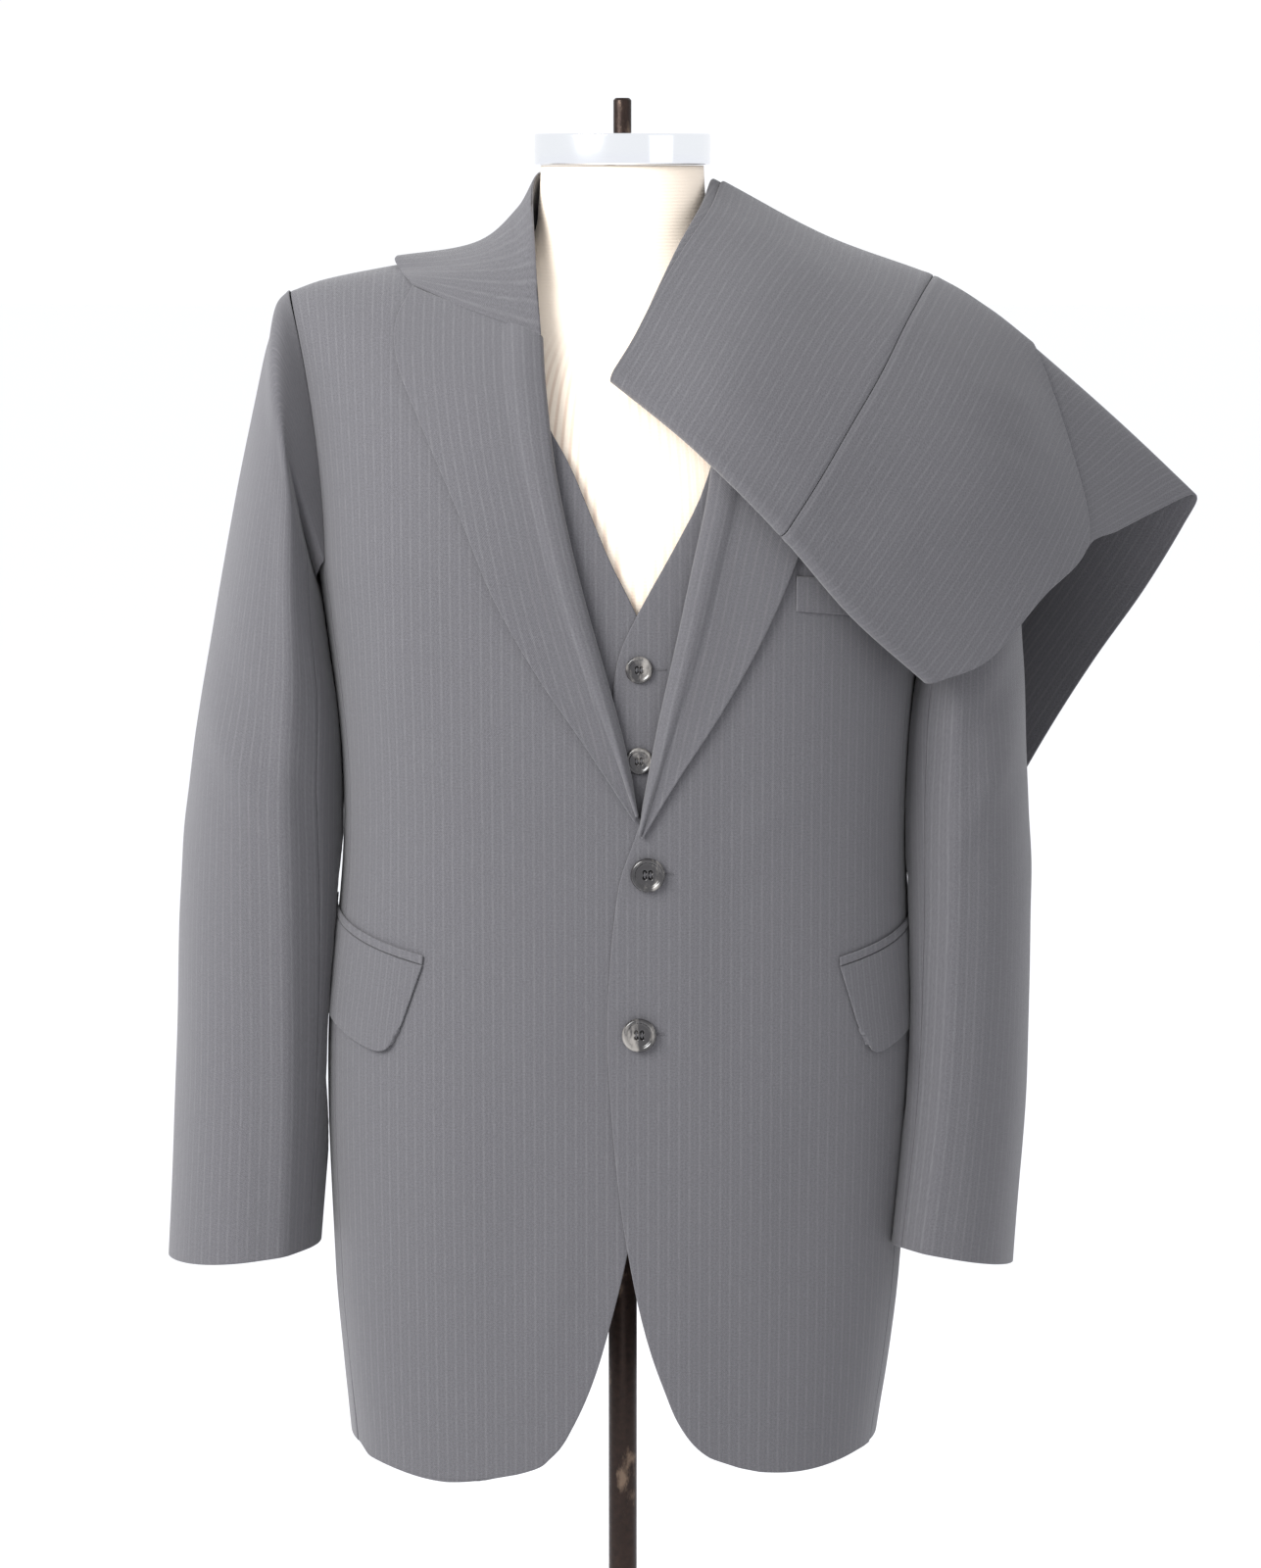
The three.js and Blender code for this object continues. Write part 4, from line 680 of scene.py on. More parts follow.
# %% Lapels
LAPEL = {
    RIGHT: dict(
        fold_x=[10, -1, -13, -26, -37, -46, -51, -53, -54],
        fold_z=[1131, 1178, 1222, 1268, 1313, 1358, 1398, 1420, 1440],
        edge_x=[8, -26, -54, -82, -104, -126, -144, -147, -137],
        edge_z=[1127, 1180, 1222, 1272, 1326, 1376, 1418, 1445, 1467.5],
    ),
    LEFT: dict(
        fold_x=[11, 18, 27, 38, 48, 58, 63, 66, 67],
        fold_z=[1119, 1152, 1196, 1245, 1293, 1341, 1385, 1415, 1434],
        edge_x=[13, 36, 66, 92, 113, 130, 144, 148, 141],
        edge_z=[1116, 1155, 1202, 1250, 1300, 1350, 1397, 1436, 1464],
    ),
}
LAPEL_ROLL = dict(high=2.2, share=0.25, radius=2.6, turn=115)
LAPEL_EDGE_LIFT = 1.2
LAPEL_WAVE = dict(high=0.5, along=9, across=3)
LAPEL_LENGTH, LAPEL_WIDE = 360, 90
ROLL_STEPS, ROLL_FROM = 7, 6


def lapel_grid(side, flat_u, v):
    """Points and normals of the lapel on the chest, u from the fold to the edge, v upwards."""
    rows = LAPEL[side]
    share = weights(9, v * 8)
    fold = np.stack([share @ rows["fold_x"], share @ rows["fold_z"]], -1)
    edge = np.stack([share @ rows["edge_x"], share @ rows["edge_z"]], -1)
    place = fold[None] + (edge - fold)[None] * flat_u[:, None, None]
    return front_at(place[..., 0], place[..., 1]), fold, edge


lapel_v = crowded(110, LAPEL_LENGTH)
lapel_u = crowded(40, LAPEL_WIDE) ** 1.15
for side, word in ((LEFT, "left"), (RIGHT, "right")):
    (points, normal), fold, edge = lapel_grid(side, lapel_u, lapel_v)
    u = lapel_u[:, None]
    roll = LAPEL_ROLL["high"] * np.sin(math.pi * np.minimum(1, u / LAPEL_ROLL["share"]))
    base = overlap_lift(points[..., 0]) if side == LEFT else 0.0
    height = CLOTH + 2 * LIFT + base + roll + LAPEL_EDGE_LIFT * u**3
    wave = np.sin(LAPEL_WAVE["along"] * lapel_v + LAPEL_WAVE["across"] * u)
    soft = LAPEL_WAVE["high"] * wave * np.sin(math.pi * u) * ease(0, 0.3, lapel_v)
    flat = points + normal * (height + soft + body_relief(points, -1) - CLOTH / 2)[..., None]
    turn = np.radians(LAPEL_ROLL["turn"]) * np.linspace(1, 0, ROLL_STEPS, endpoint=False)[:, None]
    inward = flat[0] - flat[ROLL_FROM]
    inward /= np.linalg.norm(inward, axis=-1, keepdims=True)
    narrow = ease(0, 0.06, lapel_v)[None, :, None]
    radius = LAPEL_ROLL["radius"] * narrow
    over = inward * np.sin(turn)[..., None] - normal[0] * (1 - np.cos(turn))[..., None]
    grid = np.concatenate([flat[0] + over * radius, flat])
    wide = np.linalg.norm(edge - fold, axis=-1)[None, :]
    across = np.concatenate([-turn * LAPEL_ROLL["radius"] + 0 * wide, u * wide])
    stripes = (across, lapel_v[None, :] * LAPEL_LENGTH)
    cloth(f"lapel_{word}", grid, side, stripes, lift=CLOTH / 2, rests=[f"jacket_front_{word}"])

# %% [markdown]
# ## Collar
# The collar stands up round the neck and falls over outside. Nine stations, one from each
# notch round to the other, give the section: foot, fold, neck, fall and outer edge. A
# smooth surface through them makes the whole collar in one piece.

# %% Collar
COLLAR = [
    dict(press=0, foot=(56, -106, 1438), fold=(53.4, -108.8, 1441), neck=(76.6, -100, 1448.8),
         fall=(107.7, -81.4, 1459.3), edge=(137.7, -55.5, 1471.5)),
    dict(press=0.3, foot=(60, -64, 1477), fold=(57, -66, 1490), neck=(73, -62, 1485),
         fall=(102.6, -51, 1481.5), edge=(146.5, -32, 1479.6)),
    dict(press=0.5, foot=(62.5, -6, 1503), fold=(58.5, -4, 1538), neck=(71, -3, 1519),
         fall=(98, -2, 1497), edge=(149, 0, 1488)),
    dict(press=0.3, foot=(44.5, 50, 1493), fold=(42, 44, 1543), neck=(52, 54, 1522),
         fall=(73, 58, 1499), edge=(107, 67, 1471)),
    dict(press=0, foot=(0, 70, 1476.5), fold=(0, 63, 1546), neck=(0, 72, 1522),
         fall=(0, 78, 1494), edge=(0, 88, 1461)),
]
COLLAR_PRESS = dict(soft=30, top=1540, bottom=1492)
COLLAR_WAVE = dict(high=0.5, along=31)


def collar_station(row, side):
    """The five points of a station; on the left they sink under the trousers' weight."""
    points = np.array([row[key] for key in ("foot", "fold", "neck", "fall", "edge")], float)
    x, z, foot = points[:, 0], points[:, 2], row["foot"][2]
    if side == LEFT:
        drop = shoulder_height(RIGHT, x) - shoulder_height(LEFT, x)
        pressed = (z - foot) * row["press"] * ease(foot, foot + COLLAR_PRESS["soft"], z)
        points[:, 2] = z - drop * (1 - ease(COLLAR_PRESS["bottom"], COLLAR_PRESS["top"], z)) - pressed
    points[:, 0] = side * x
    return points


stations = np.array([collar_station(row, RIGHT) for row in COLLAR]
                    + [collar_station(row, LEFT) for row in COLLAR[-2::-1]])
collar_u = crowded(150, 480)
stand, fall = np.linspace(0.09, 0.5, 22), np.linspace(0.53, 0.98, 18)
collar_v = np.concatenate([[0, 0.02, 0.05], stand, fall, [0.99, 0.996, 1]])
points = np.einsum("us,skc,vk->uvc", weights(9, collar_u * 8), stations, weights(5, collar_v * 4))
ripple = COLLAR_WAVE["high"] * np.sin(COLLAR_WAVE["along"] * collar_u)[:, None]
ripple = ripple * ease(0.5, 1, collar_v)[None, :]
stripes = (lengths(points, 0)[:, -1:] + 0 * collar_v[None, :], lengths(points, 1))
cloth("collar", points, 1, stripes, relief=ripple, rests=["jacket_back_left", "jacket_back_right"])

# %% [markdown]
# ## Sleeves
# A jacket sleeve is cut in two pieces, a wide top and a narrow under one, and hangs from
# the armhole as a tube that leans out and turns forward. Rings from a short table give its
# centre, tilt and size; the first ring is the armhole itself. Where the ring would press
# into the side of the body it is held just clear of it. Its soft folds gather at the elbow.

# %% Sleeves
SLEEVE = {
    RIGHT: dict(
        x=[219.5, 221.5, 227.5, 233, 240.3, 246.3, 251.7, 259.7], y=[-2, -1, 0, -1, -4, -8, -14, -22],
        z=[1362, 1328, 1273, 1213, 1140, 1042, 930, 813], tilt=[82, 75, 62, 40, 21, 8, 3, -5],
        half=[90, 80, 66, 53.5, 52.2, 53.3, 49.7, 48.6], deep=[72, 79, 82, 80, 76, 70, 63, 58],
        turn=[0, 2, 5, 9, 12, 18, 24, 30], rise=[0, 0, 0, 0, 0, 0, 0, 6],
    ),
    LEFT: dict(
        x=[220, 225, 228, 229.5, 231.3, 234, 232.3, 224.1], y=[-2, -1, 0, -1, -6, -14, -24, -34],
        z=[1352, 1320, 1268, 1210, 1140, 1042, 930, 813], tilt=[83, 76, 62, 40, 21, 8, 3, -8],
        half=[85, 74, 60, 51, 44.2, 42, 40.3, 40.1], deep=[70, 75, 78, 77, 74, 69, 62, 58],
        turn=[0, 1, 3, 6, 9, 12, 16, 20], rise=[0, 0, 0, 0, 0, 0, 0, 12],
    ),
}
SLEEVE_SEAMS = dict(front=116, back=285, gap=0.08)
SLEEVE_CREASE = dict(high=0.05, wide=11)
SLEEVE_SQUARE = 0.95
SLEEVE_HEAD_GAP = 0.35
SLEEVE_LENGTH, MM_PER_DEGREE = 650, 1.15
UNDER_FOLDS = 0.4
SLEEVE_CLEAR = dict(air=2.4, flaps=4.8, bottom=900, low=940, high=1065, top=1100)
# Each row: degrees round and mm down of both ends, width and height.
SLEEVE_FOLDS = {
    RIGHT: [(-20, 60, 40, 160, 20, 1.6), (60, 120, 95, 260, 18, -1.4), (20, 330, 105, 400, 15, 2.0),
            (10, 372, 100, 440, 14, -1.9), (-60, 300, -10, 380, 18, 1.8), (-70, 420, 0, 460, 15, -1.5),
            (40, 470, 70, 620, 22, 1.2), (-50, 500, -30, 640, 24, -1.4), (75, 20, 105, 120, 12, 1.4)],
    LEFT: [(0, 80, 50, 190, 20, 1.5), (50, 150, 90, 270, 16, -1.5), (0, 340, 100, 380, 16, 2.0),
           (20, 390, 110, 450, 13, -1.6), (-60, 310, -20, 400, 18, 1.7), (-70, 430, 10, 480, 15, -1.6),
           (30, 500, 60, 640, 22, 1.2), (-40, 520, -30, 640, 22, -1.3), (80, 200, 95, 330, 12, 1.2)],
}
print("sleeve rings", len(SLEEVE[LEFT]["x"]), "and folds", len(SLEEVE_FOLDS[LEFT]))

# %% [markdown]
# The armhole is a loop on the jacket body, and every ring below it is an oval that can tilt
# and turn. One smooth curve through the same angle of all of them gives the sleeve's surface,
# so its head meets the armhole exactly and its length has no kinks.

# %% The sleeve's surface
def power(value, p):
    """A power that keeps the sign."""
    return np.sign(value) * np.abs(value) ** p


def armhole_point(side, angle):
    """The armhole as a loop: 0 at the shoulder, 90 in front, 180 under the arm."""
    up, out = np.cos(np.radians(angle)), np.sin(np.radians(angle))
    depth = np.where(out > 0, body("front", CHEST_LINE), body("back", CHEST_LINE)) * FLANK_DEPTH
    rise = np.maximum(up, 0) ** (2 / ARCH_SQUARE)
    x_high = armhole_reach(rise)
    z_high = CHEST_LINE + (shoulder_height(side, x_high) - CHEST_LINE) * rise
    x_low = ARMHOLE_FOOT + (body("half", CHEST_LINE) - ARMHOLE_FOOT) * -up
    high = np.stack([side * x_high, -np.sign(out) * depth * np.abs(out) ** (2 / ARCH_SQUARE), z_high], -1)
    low = np.stack([side * x_low, -np.sign(out) * depth * np.abs(out), CHEST_LINE + ARMHOLE_DIP * up], -1)
    return np.where((up >= 0)[:, None], high, low)


def sleeve_ring(side, angle, k):
    """One ring: an oval of half by deep, tilted out of level, turned forward, with its crease."""
    row = {key: values[k] for key, values in SLEEVE[side].items()}
    c, s = np.cos(np.radians(angle)), np.sin(np.radians(angle))
    crease = 1 + SLEEVE_CREASE["high"] * np.exp(-((angle - 90) / SLEEVE_CREASE["wide"]) ** 2)
    tilt, turn = math.radians(row["tilt"]), math.radians(row["turn"])
    across = row["half"] * power(c, SLEEVE_SQUARE)
    forward = row["deep"] * power(s, SLEEVE_SQUARE) * crease
    x = row["x"] + across * math.cos(tilt) * math.cos(turn) - forward * math.sin(turn)
    y = row["y"] - forward * math.cos(turn) - across * math.cos(tilt) * math.sin(turn)
    z = row["z"] + across * math.sin(tilt) + forward * math.sin(math.radians(row["rise"]))
    return np.stack([side * x, y, z], -1)


def sleeve_grid(side, angle, v):
    """A smooth surface through the armhole and the eight rings, kept clear of the flank."""
    start = armhole_point(side, angle) + np.array([side * SLEEVE_HEAD_GAP, 0, 0])
    line = np.stack([start, *[sleeve_ring(side, angle, k) for k in range(8)]])
    points = np.einsum("vk,kac->avc", weights(9, v * 8), line)
    height = np.minimum(points[..., 2], CHEST_LINE)
    deep = np.where(points[..., 1] < 0, body("front", height), body("back", height))
    share = np.minimum(0.999, np.abs(points[..., 1]) / deep)
    flank = body("middle", height) + side * body("half", height) * round_off(share, RING_SQUARE)
    clear = SLEEVE_CLEAR
    beside = ease(clear["bottom"], clear["low"], height) * (1 - ease(clear["high"], clear["top"], height))
    keep = side * flank + clear["air"] + (clear["flaps"] - clear["air"]) * beside
    away = side * points[..., 0]
    held = np.where((v > 0)[None, :] & (away < keep), away + (keep - away) * ease(0, 0.06, v)[None, :], away)
    points[..., 0] = side * held
    return points


print("armhole foot at", armhole_point(LEFT, np.array([180.0])).round(1).tolist())

# %% [markdown]
# Each sleeve is cut along two lines down its length: the seam in front and the one behind.
# The folds are placed on the sleeve laid flat, in degrees round and millimetres down.

# %% Sleeve pieces
head, cuff = [0, 0.0005, 0.001, 0.0018], [0.998, 0.9992, 0.9997, 1]
sleeve_v = np.concatenate([head, np.linspace(0.004, 0.996, 118), cuff])
for side, word in ((LEFT, "left"), (RIGHT, "right")):
    seams = SLEEVE_SEAMS
    spans = (("top", seams["back"] - 360, seams["front"], 74), ("under", seams["front"], seams["back"], 46))
    for part, start, end, count in spans:
        angle = start + seams["gap"] + (end - start - 2 * seams["gap"]) * crowded(count, 250)
        points = sleeve_grid(side, angle, sleeve_v)
        down = sleeve_v[None, :] * SLEEVE_LENGTH
        table = [(a * MM_PER_DEGREE, d, b * MM_PER_DEGREE, e, w, h)
                 for a, d, b, e, w, h in SLEEVE_FOLDS[side]]
        relief = fold_field((angle * MM_PER_DEGREE)[:, None], down, table)
        relief = relief * ease(0.02, 0.15, sleeve_v)[None, :]
        if part == "under":
            relief = np.maximum(relief, 0) * UNDER_FOLDS
        middle = int(np.argmin(np.abs(angle - (90 if part == "top" else 180))))
        measured = lengths(points, 0)
        stripes = (measured - measured[middle:middle + 1], lengths(points, 1))
        cloth(f"sleeve_{word}_{part}", points, -side, stripes, relief=relief, held="hung",
              rests=[f"jacket_side_{word}"])

# %% [markdown]
# ## Pockets
# Each side pocket is a slit bound by a narrow jet, with a flap that hangs from it. Flap
# and jet are carried round the jacket's own ring, moved out, so they lie on the cloth. The
# breast pocket shows as a plain welt.

# %% Pockets
FLAP = {RIGHT: dict(start=131, z=1028, rise=24, depth=64), LEFT: dict(start=143, z=1026, rise=22, depth=64)}
FLAP_END, FLAP_SWEEP = 8, 17
FLAP_CORNER = dict(high=11, wide=0.16, start=0.6)
JET = dict(high=6, thick=1.2)
FLAP_CURL = dict(high=1.6, start=0.55, eased=0.6)
BREAST_WELT = dict(start=112, end=178, z=1287, fall=0.12, high=23)


def ring_angle(x, z):
    """The angle on the jacket's section at which x lies."""
    share = np.clip(np.abs(x - body("middle", z)) / body("half", z), 0, 1)
    return np.arccos(share ** (RING_SQUARE / 2))


def on_ring(side, angle, z):
    """A point of the jacket's level section by its angle: 0 at the flank, a quarter turn in front."""
    x = body("middle", z) + side * body("half", z) * np.cos(angle) ** (2 / RING_SQUARE)
    return np.stack([x, -body("front", z) * np.sin(angle) ** (2 / RING_SQUARE), z], -1)


for side, word in ((LEFT, "left"), (RIGHT, "right")):
    flap = FLAP[side]
    z0 = flap["z"]
    last = math.asin((FLAP_END / float(body("front", z0))) ** (RING_SQUARE / 2))
    u, v = crowded(44, 110)[:, None], crowded(30, 64)[None, :]
    start = ring_angle(side * (flap["start"] + FLAP_SWEEP * v), z0)
    corner_arc = 1 - np.sqrt(1 - np.clip(1 - u / FLAP_CORNER["wide"], 0, 1) ** 2)
    corner = FLAP_CORNER["high"] * corner_arc * ease(FLAP_CORNER["start"], 1, v)
    z = z0 + flap["rise"] * u - LIFT - flap["depth"] * v + corner
    points = on_ring(side, start + (last - start) * u, z)
    curl = FLAP_CURL["high"] * ease(FLAP_CURL["start"], 1, v) * (1 - FLAP_CURL["eased"] * ease(0.1, 0.6, u))
    stripes = (side * points[..., 0] + 0.5 * lengths(points, 0), points[..., 2])
    cloth(f"pocket_flap_{word}", points, -side, stripes, lift=CLOTH + LIFT,
          relief=body_relief(points, -1) + curl, held="hung", rests=[f"jacket_front_{word}"])
    first = float(ring_angle(side * flap["start"], z0))
    v = crowded(6, 6)[None, :]
    points = on_ring(side, first + (last - first) * u, z0 + flap["rise"] * u + JET["high"] * (1 - v))
    stripes = (side * points[..., 0], points[..., 2])
    jet = cloth(f"pocket_jet_{word}", points, -side, stripes, lift=JET["thick"] + LIFT + SEAM,
                thick=JET["thick"], relief=body_relief(points, -1))
    SHEETS.pop(f"pocket_jet_{word}")
    SHEETS[f"pocket_flap_{word}"]["trims"].append(jet)

welt = BREAST_WELT
u, v = crowded(24, 66)[:, None], crowded(12, 23)[None, :]
x = welt["start"] + (welt["end"] - welt["start"]) * u + 0 * v
z = welt["z"] - welt["fall"] * (x - welt["start"]) - welt["high"] * v
points, normal = front_at(x, z)
cloth("breast_welt", points, -1, (x, z), lift=LIFT + JET["thick"], thick=JET["thick"],
      relief=body_relief(points, -1), rests=["jacket_front_left"])

# %% [markdown]
# ## Waistcoat
# The waistcoat lies 5 mm inside the jacket's outside and shows in the opening. It has two
# fronts that end in a shallow V and a back that runs round to the side seams.

# %% Waistcoat
VEST_DEPTH, VEST_SHOULDER_DEPTH = 5.2, 3.3
VEST_LEFT_EDGE = dict(z=[940, 950, 972, 1000, 1207, 1235, 1258, 1275, 1304, 1342, 1400, 1450, 1510],
                      x=[30, 12, -4, -6, -6, -2, 8, 17, 33, 52, 68, 74, 80])
VEST_RIGHT_EDGE = dict(z=[940, 950, 972, 1000, 1200, 1230, 1262, 1297, 1329, 1360, 1389, 1450, 1510],
                       x=[-30, -6, 20, 27, 27, 21, 9, -8, -21, -34, -50, -72, -80])
VEST_ARMHOLE = dict(h=[-400, -62, -36, 0, 60, 130, 220], reach=[1, 1, 0.94, 0.86, 0.79, 0.75, 0.74])
VEST_LAP = dict(lift=2, start=30, end=60)
VEST_SIDE = dict(top=-36, bottom=-75)
VEST_BACK_SHARE, VEST_FOLDS = 0.68, 0.4
WAIST_ROWS = [-290, -240, -195, -150, -100, -75, -50, -36, 0, *ARCH_ROWS]


def vest_reach(h):
    """How far a row of the waistcoat reaches before its armhole."""
    return np.minimum(1, lookup(VEST_ARMHOLE["h"], VEST_ARMHOLE["reach"], h))


def vest_depth(h):
    """How far it lies inside the jacket: less over the shoulder than at the waist."""
    return VEST_DEPTH + (VEST_SHOULDER_DEPTH - VEST_DEPTH) * ease(ARC * 0.4, ARC * 0.9, h)


vest_rows = refine([-348, -347, -338, -318, *WAIST_ROWS], 4)
vest_sides = ((LEFT, "left", VEST_LEFT_EDGE, 0), (RIGHT, "right", VEST_RIGHT_EDGE, VEST_LAP["lift"]))
for side, word, table, lap in vest_sides:
    points = front_grid(side, table, crowded(34, 160), vest_rows, vest_reach(vest_rows))
    under = lap * (1 - ease(VEST_LAP["start"], VEST_LAP["end"], np.abs(points[..., 0])))
    across = side * points[0:1, :, 0] + lengths(points, 0)
    cloth(f"vest_front_{word}", points, side, (across, points[..., 2]), rests=["form_torso"],
          lift=-vest_depth(vest_rows)[None, :] - under,
          relief=VEST_FOLDS * np.minimum(0, body_relief(points, -1)))

# %% [markdown]
# The waistcoat's back is one piece from side seam to side seam. Its rows are laid from the
# middle outwards: the first part lies on the back panel's surface and the rest goes on
# round the flank, where the reach is over 1.

# %% Waistcoat back
across = crowded(64, 700)
out = np.abs(2 * across - 1)[:, None]
vest_back_rows = refine([-305, -304, *WAIST_ROWS], 3)
seam_end = 3 - 2 * FLANK_GAP
reach = vest_reach(np.maximum(vest_back_rows, VEST_SIDE["top"]))
closing = ease(VEST_SIDE["bottom"], VEST_SIDE["top"], vest_back_rows)
wide = seam_end + (reach - seam_end) * closing - SEAM_SHARE
knee = np.minimum(1, 0.9 * wide)
beyond = (out - VEST_BACK_SHARE) / (1 - VEST_BACK_SHARE)
reach = np.where(out < VEST_BACK_SHARE, out / VEST_BACK_SHARE * knee, knee + (wide - knee) * beyond)
rows = back_row(reach * ARMHOLE_FOOT, np.broadcast_to(vest_back_rows, reach.shape))
below = CHEST_LINE + np.minimum(rows, 0)
halves = {}
for side in (LEFT, RIGHT):
    on_back = panel_point(side, 1, np.minimum(reach, 1), rows)
    halves[side] = np.where((reach <= 1)[..., None], on_back, flank_point(side, 2 - reach, below))
points = np.where((across < 0.5)[:, None, None], halves[RIGHT], halves[LEFT])
cloth("vest_back", points, -1, (lengths(points, 0), points[..., 2]), rests=["form_torso"],
      lift=-vest_depth(rows) - LIFT * ease(0, ARC * 0.4, rows))

# %% [markdown]
# ## Trousers
# The trousers are folded in half at the knee with the legs together, and laid over the
# left shoulder with the fold in front. Eleven sections across the leg, from the fold to
# the waist, give the upper leg; the cloth turns under at the fold on a small radius. The
# second leg lies beneath and comes out past the back crease as a flap that hangs behind.

# %% Trousers
TROUSERS = np.array([
    # front crease, inner, side seam, outer, back crease
    [[-5, -129, 1420], [54, -156.5, 1372], [107, -157, 1320], [156, -139, 1263], [206, -112, 1215]],
    [[7, -118, 1439], [68, -144, 1405], [125, -148, 1347], [185, -127, 1286], [240, -100, 1228]],
    [[21, -102, 1465], [84, -121, 1439], [146, -130, 1381], [214, -112, 1322], [277, -76, 1266]],
    [[39, -76, 1494], [101, -89, 1471], [167, -105, 1414], [243, -92, 1362], [311, -40, 1300]],
    [[58, -42, 1521], [119, -50, 1493], [188, -66, 1450], [250, -58, 1410], [300, -24, 1362]],
    [[67, 2, 1538], [136, 1, 1502], [208, 0, 1475], [246, 0, 1453], [277, 2, 1429]],
    [[72, 58, 1519], [137, 56, 1485], [206, 54, 1456], [246, 54, 1431], [282, 48, 1402]],
    [[60, 108, 1447], [128, 105, 1420], [197, 96, 1390], [246, 94, 1364], [298, 86, 1334]],
    [[36, 139, 1355], [107, 137, 1326], [178, 125, 1296], [235, 117, 1280], [292, 108, 1258]],
    [[10, 146, 1260], [82, 147, 1230], [154, 137, 1198], [211, 125, 1182], [262, 116, 1172]],
    [[-14, 140, 1166], [60, 143, 1136], [133, 134, 1104], [190, 123, 1089], [238, 114, 1080]],
], float)
SECOND_LEG = dict(row=[3, 4, 5, 6, 7, 8, 9, 10], x=[319, 366, 394, 386, 362, 330, 298, 262],
                  y=[-30, 16, 38, 50, 68, 84, 98, 106], z=[1299, 1317, 1326, 1303, 1257, 1206, 1150, 1082])
TROUSER = dict(cloth=1.2, nose=6.4, under=26, second=1.8, gap=0.5, stack=10.8, thin=7.2, sliver=6.6)
LEG_LENGTH, LEG_WIDTH = 930, 250
OUTER_FLAP = dict(start=2.7, end=3.3, first=3, tuck=0.5, belly=1.5)
STEP_IN = dict(front=(2, 3.8), back=(7.2, 9))
print("trousers: sections", len(TROUSERS), "stack", TROUSER["stack"], "mm")

# %% [markdown]
# A point of the leg is a smooth blend of the table's own points, by how far across and how
# far along it is. Every layer below is the same surface moved inwards, and at the knee the
# cloth leaves it on a half circle and runs back underneath.

# %% The leg's surface
def leg_points(u, v):
    """The upper leg's outside: smooth across its five columns and along its eleven rows."""
    u, v = np.broadcast_arrays(np.asarray(u, float), np.asarray(v, float))
    shape = u.shape
    rows = weights(11, np.clip(v, 0, 1).ravel() * 10)
    columns = weights(5, np.clip(u, 0, 1).ravel() * 4)
    return np.einsum("nr,rkc,nk->nc", rows, TROUSERS, columns).reshape(*shape, 3)


def leg_frames(u, v):
    """Outward normals, from small steps both ways."""
    step = 0.002
    u, v = np.clip(u, 0, 1), np.clip(v, 0, 1)
    du = leg_points(np.minimum(u + step, 1), v) - leg_points(np.maximum(u - step, 0), v)
    dv = leg_points(u, np.minimum(v + step, 1)) - leg_points(u, np.maximum(v - step, 0))
    normal = np.cross(du, dv)
    return normal / np.linalg.norm(normal, axis=-1, keepdims=True)


def layer_points(u, v, depth, beyond=0.0):
    """Points some depth under the outside; past a crease the cloth keeps straight on."""
    u, v, depth, beyond = np.broadcast_arrays(*(np.asarray(a, float) for a in (u, v, depth, beyond)))
    points = leg_points(u, v) - leg_frames(u, v) * depth[..., None]
    edge = np.where(u < 0.5, 0.0, 1.0)
    out = leg_points(edge, v) - leg_points(edge + np.where(edge == 0, 0.01, -0.01), v)
    return points + out / np.linalg.norm(out, axis=-1, keepdims=True) * beyond[..., None]


def fold_points(u, turned, depth):
    """The cloth round the knee fold: turned 0 on top, 1 underneath, then straight back."""
    u, turned = np.broadcast_arrays(u, turned)
    start, normal = leg_points(u, 0), leg_frames(u, np.zeros_like(u))
    ahead = start - leg_points(u, 0.01)
    ahead /= np.linalg.norm(ahead, axis=-1, keepdims=True)
    radius = TROUSER["nose"] - depth
    angle = np.minimum(1, turned) * math.pi
    bent = start + normal * (radius * np.cos(angle) - TROUSER["nose"])[..., None]
    bent = bent + ahead * (radius * np.sin(angle))[..., None]
    back = np.maximum(turned - 1, 0) * TROUSER["under"] / (LEG_LENGTH / 2)
    flat = layer_points(u, back, TROUSER["nose"] + radius)
    return np.where((turned <= 1)[..., None], bent, flat)


print("middle of the leg", leg_points(0.5, 0.5).round(1).tolist())

# %% [markdown]
# The outside leg shows the side seam down its middle, pressed flat into a narrow groove
# between two low ridges, so it is cut there into a front and a back panel. Long soft folds
# run from the knee towards the waist, and two cross where it bends over the shoulder.

# %% The outside leg
# Each row: share across and along of both ends, width and height in mm.
LEG_FOLDS = [
    (0.55, 0.02, 0.62, 0.22, 15, -1.6), (0.66, 0.1, 0.8, 0.3, 16, 1.8), (0.72, 0.02, 0.7, 0.16, 12, 1.4),
    (0.2, 0.04, 0.3, 0.2, 20, 1.2), (0.35, 0.25, 0.4, 0.45, 18, -1.0), (0.62, 0.34, 0.9, 0.42, 14, 2.0),
    (0.6, 0.3, 0.88, 0.34, 12, -1.8), (0.12, 0.3, 0.1, 0.48, 16, 1.0), (0.8, 0.05, 0.92, 0.18, 12, -1.3),
    (0.3, 0.6, 0.34, 0.9, 22, 1.6), (0.6, 0.62, 0.66, 0.95, 20, -1.6), (0.15, 0.66, 0.2, 0.92, 18, -1.3),
    (0.82, 0.62, 0.8, 0.9, 16, 1.5), (0.45, 0.55, 0.7, 0.66, 14, 1.5),
]


LEG_FOLD_SHARE = 0.6


def leg_relief(u, v):
    """The folds over the leg laid flat, a share of their stated height, faded at both creases."""
    wide, long = LEG_WIDTH, LEG_LENGTH
    table = [(a * wide, b * long, c * wide, d * long, w, h) for a, b, c, d, w, h in LEG_FOLDS]
    return LEG_FOLD_SHARE * fold_field(u * wide, v * long, table) * ease(0, 0.05, np.minimum(u, 1 - u))


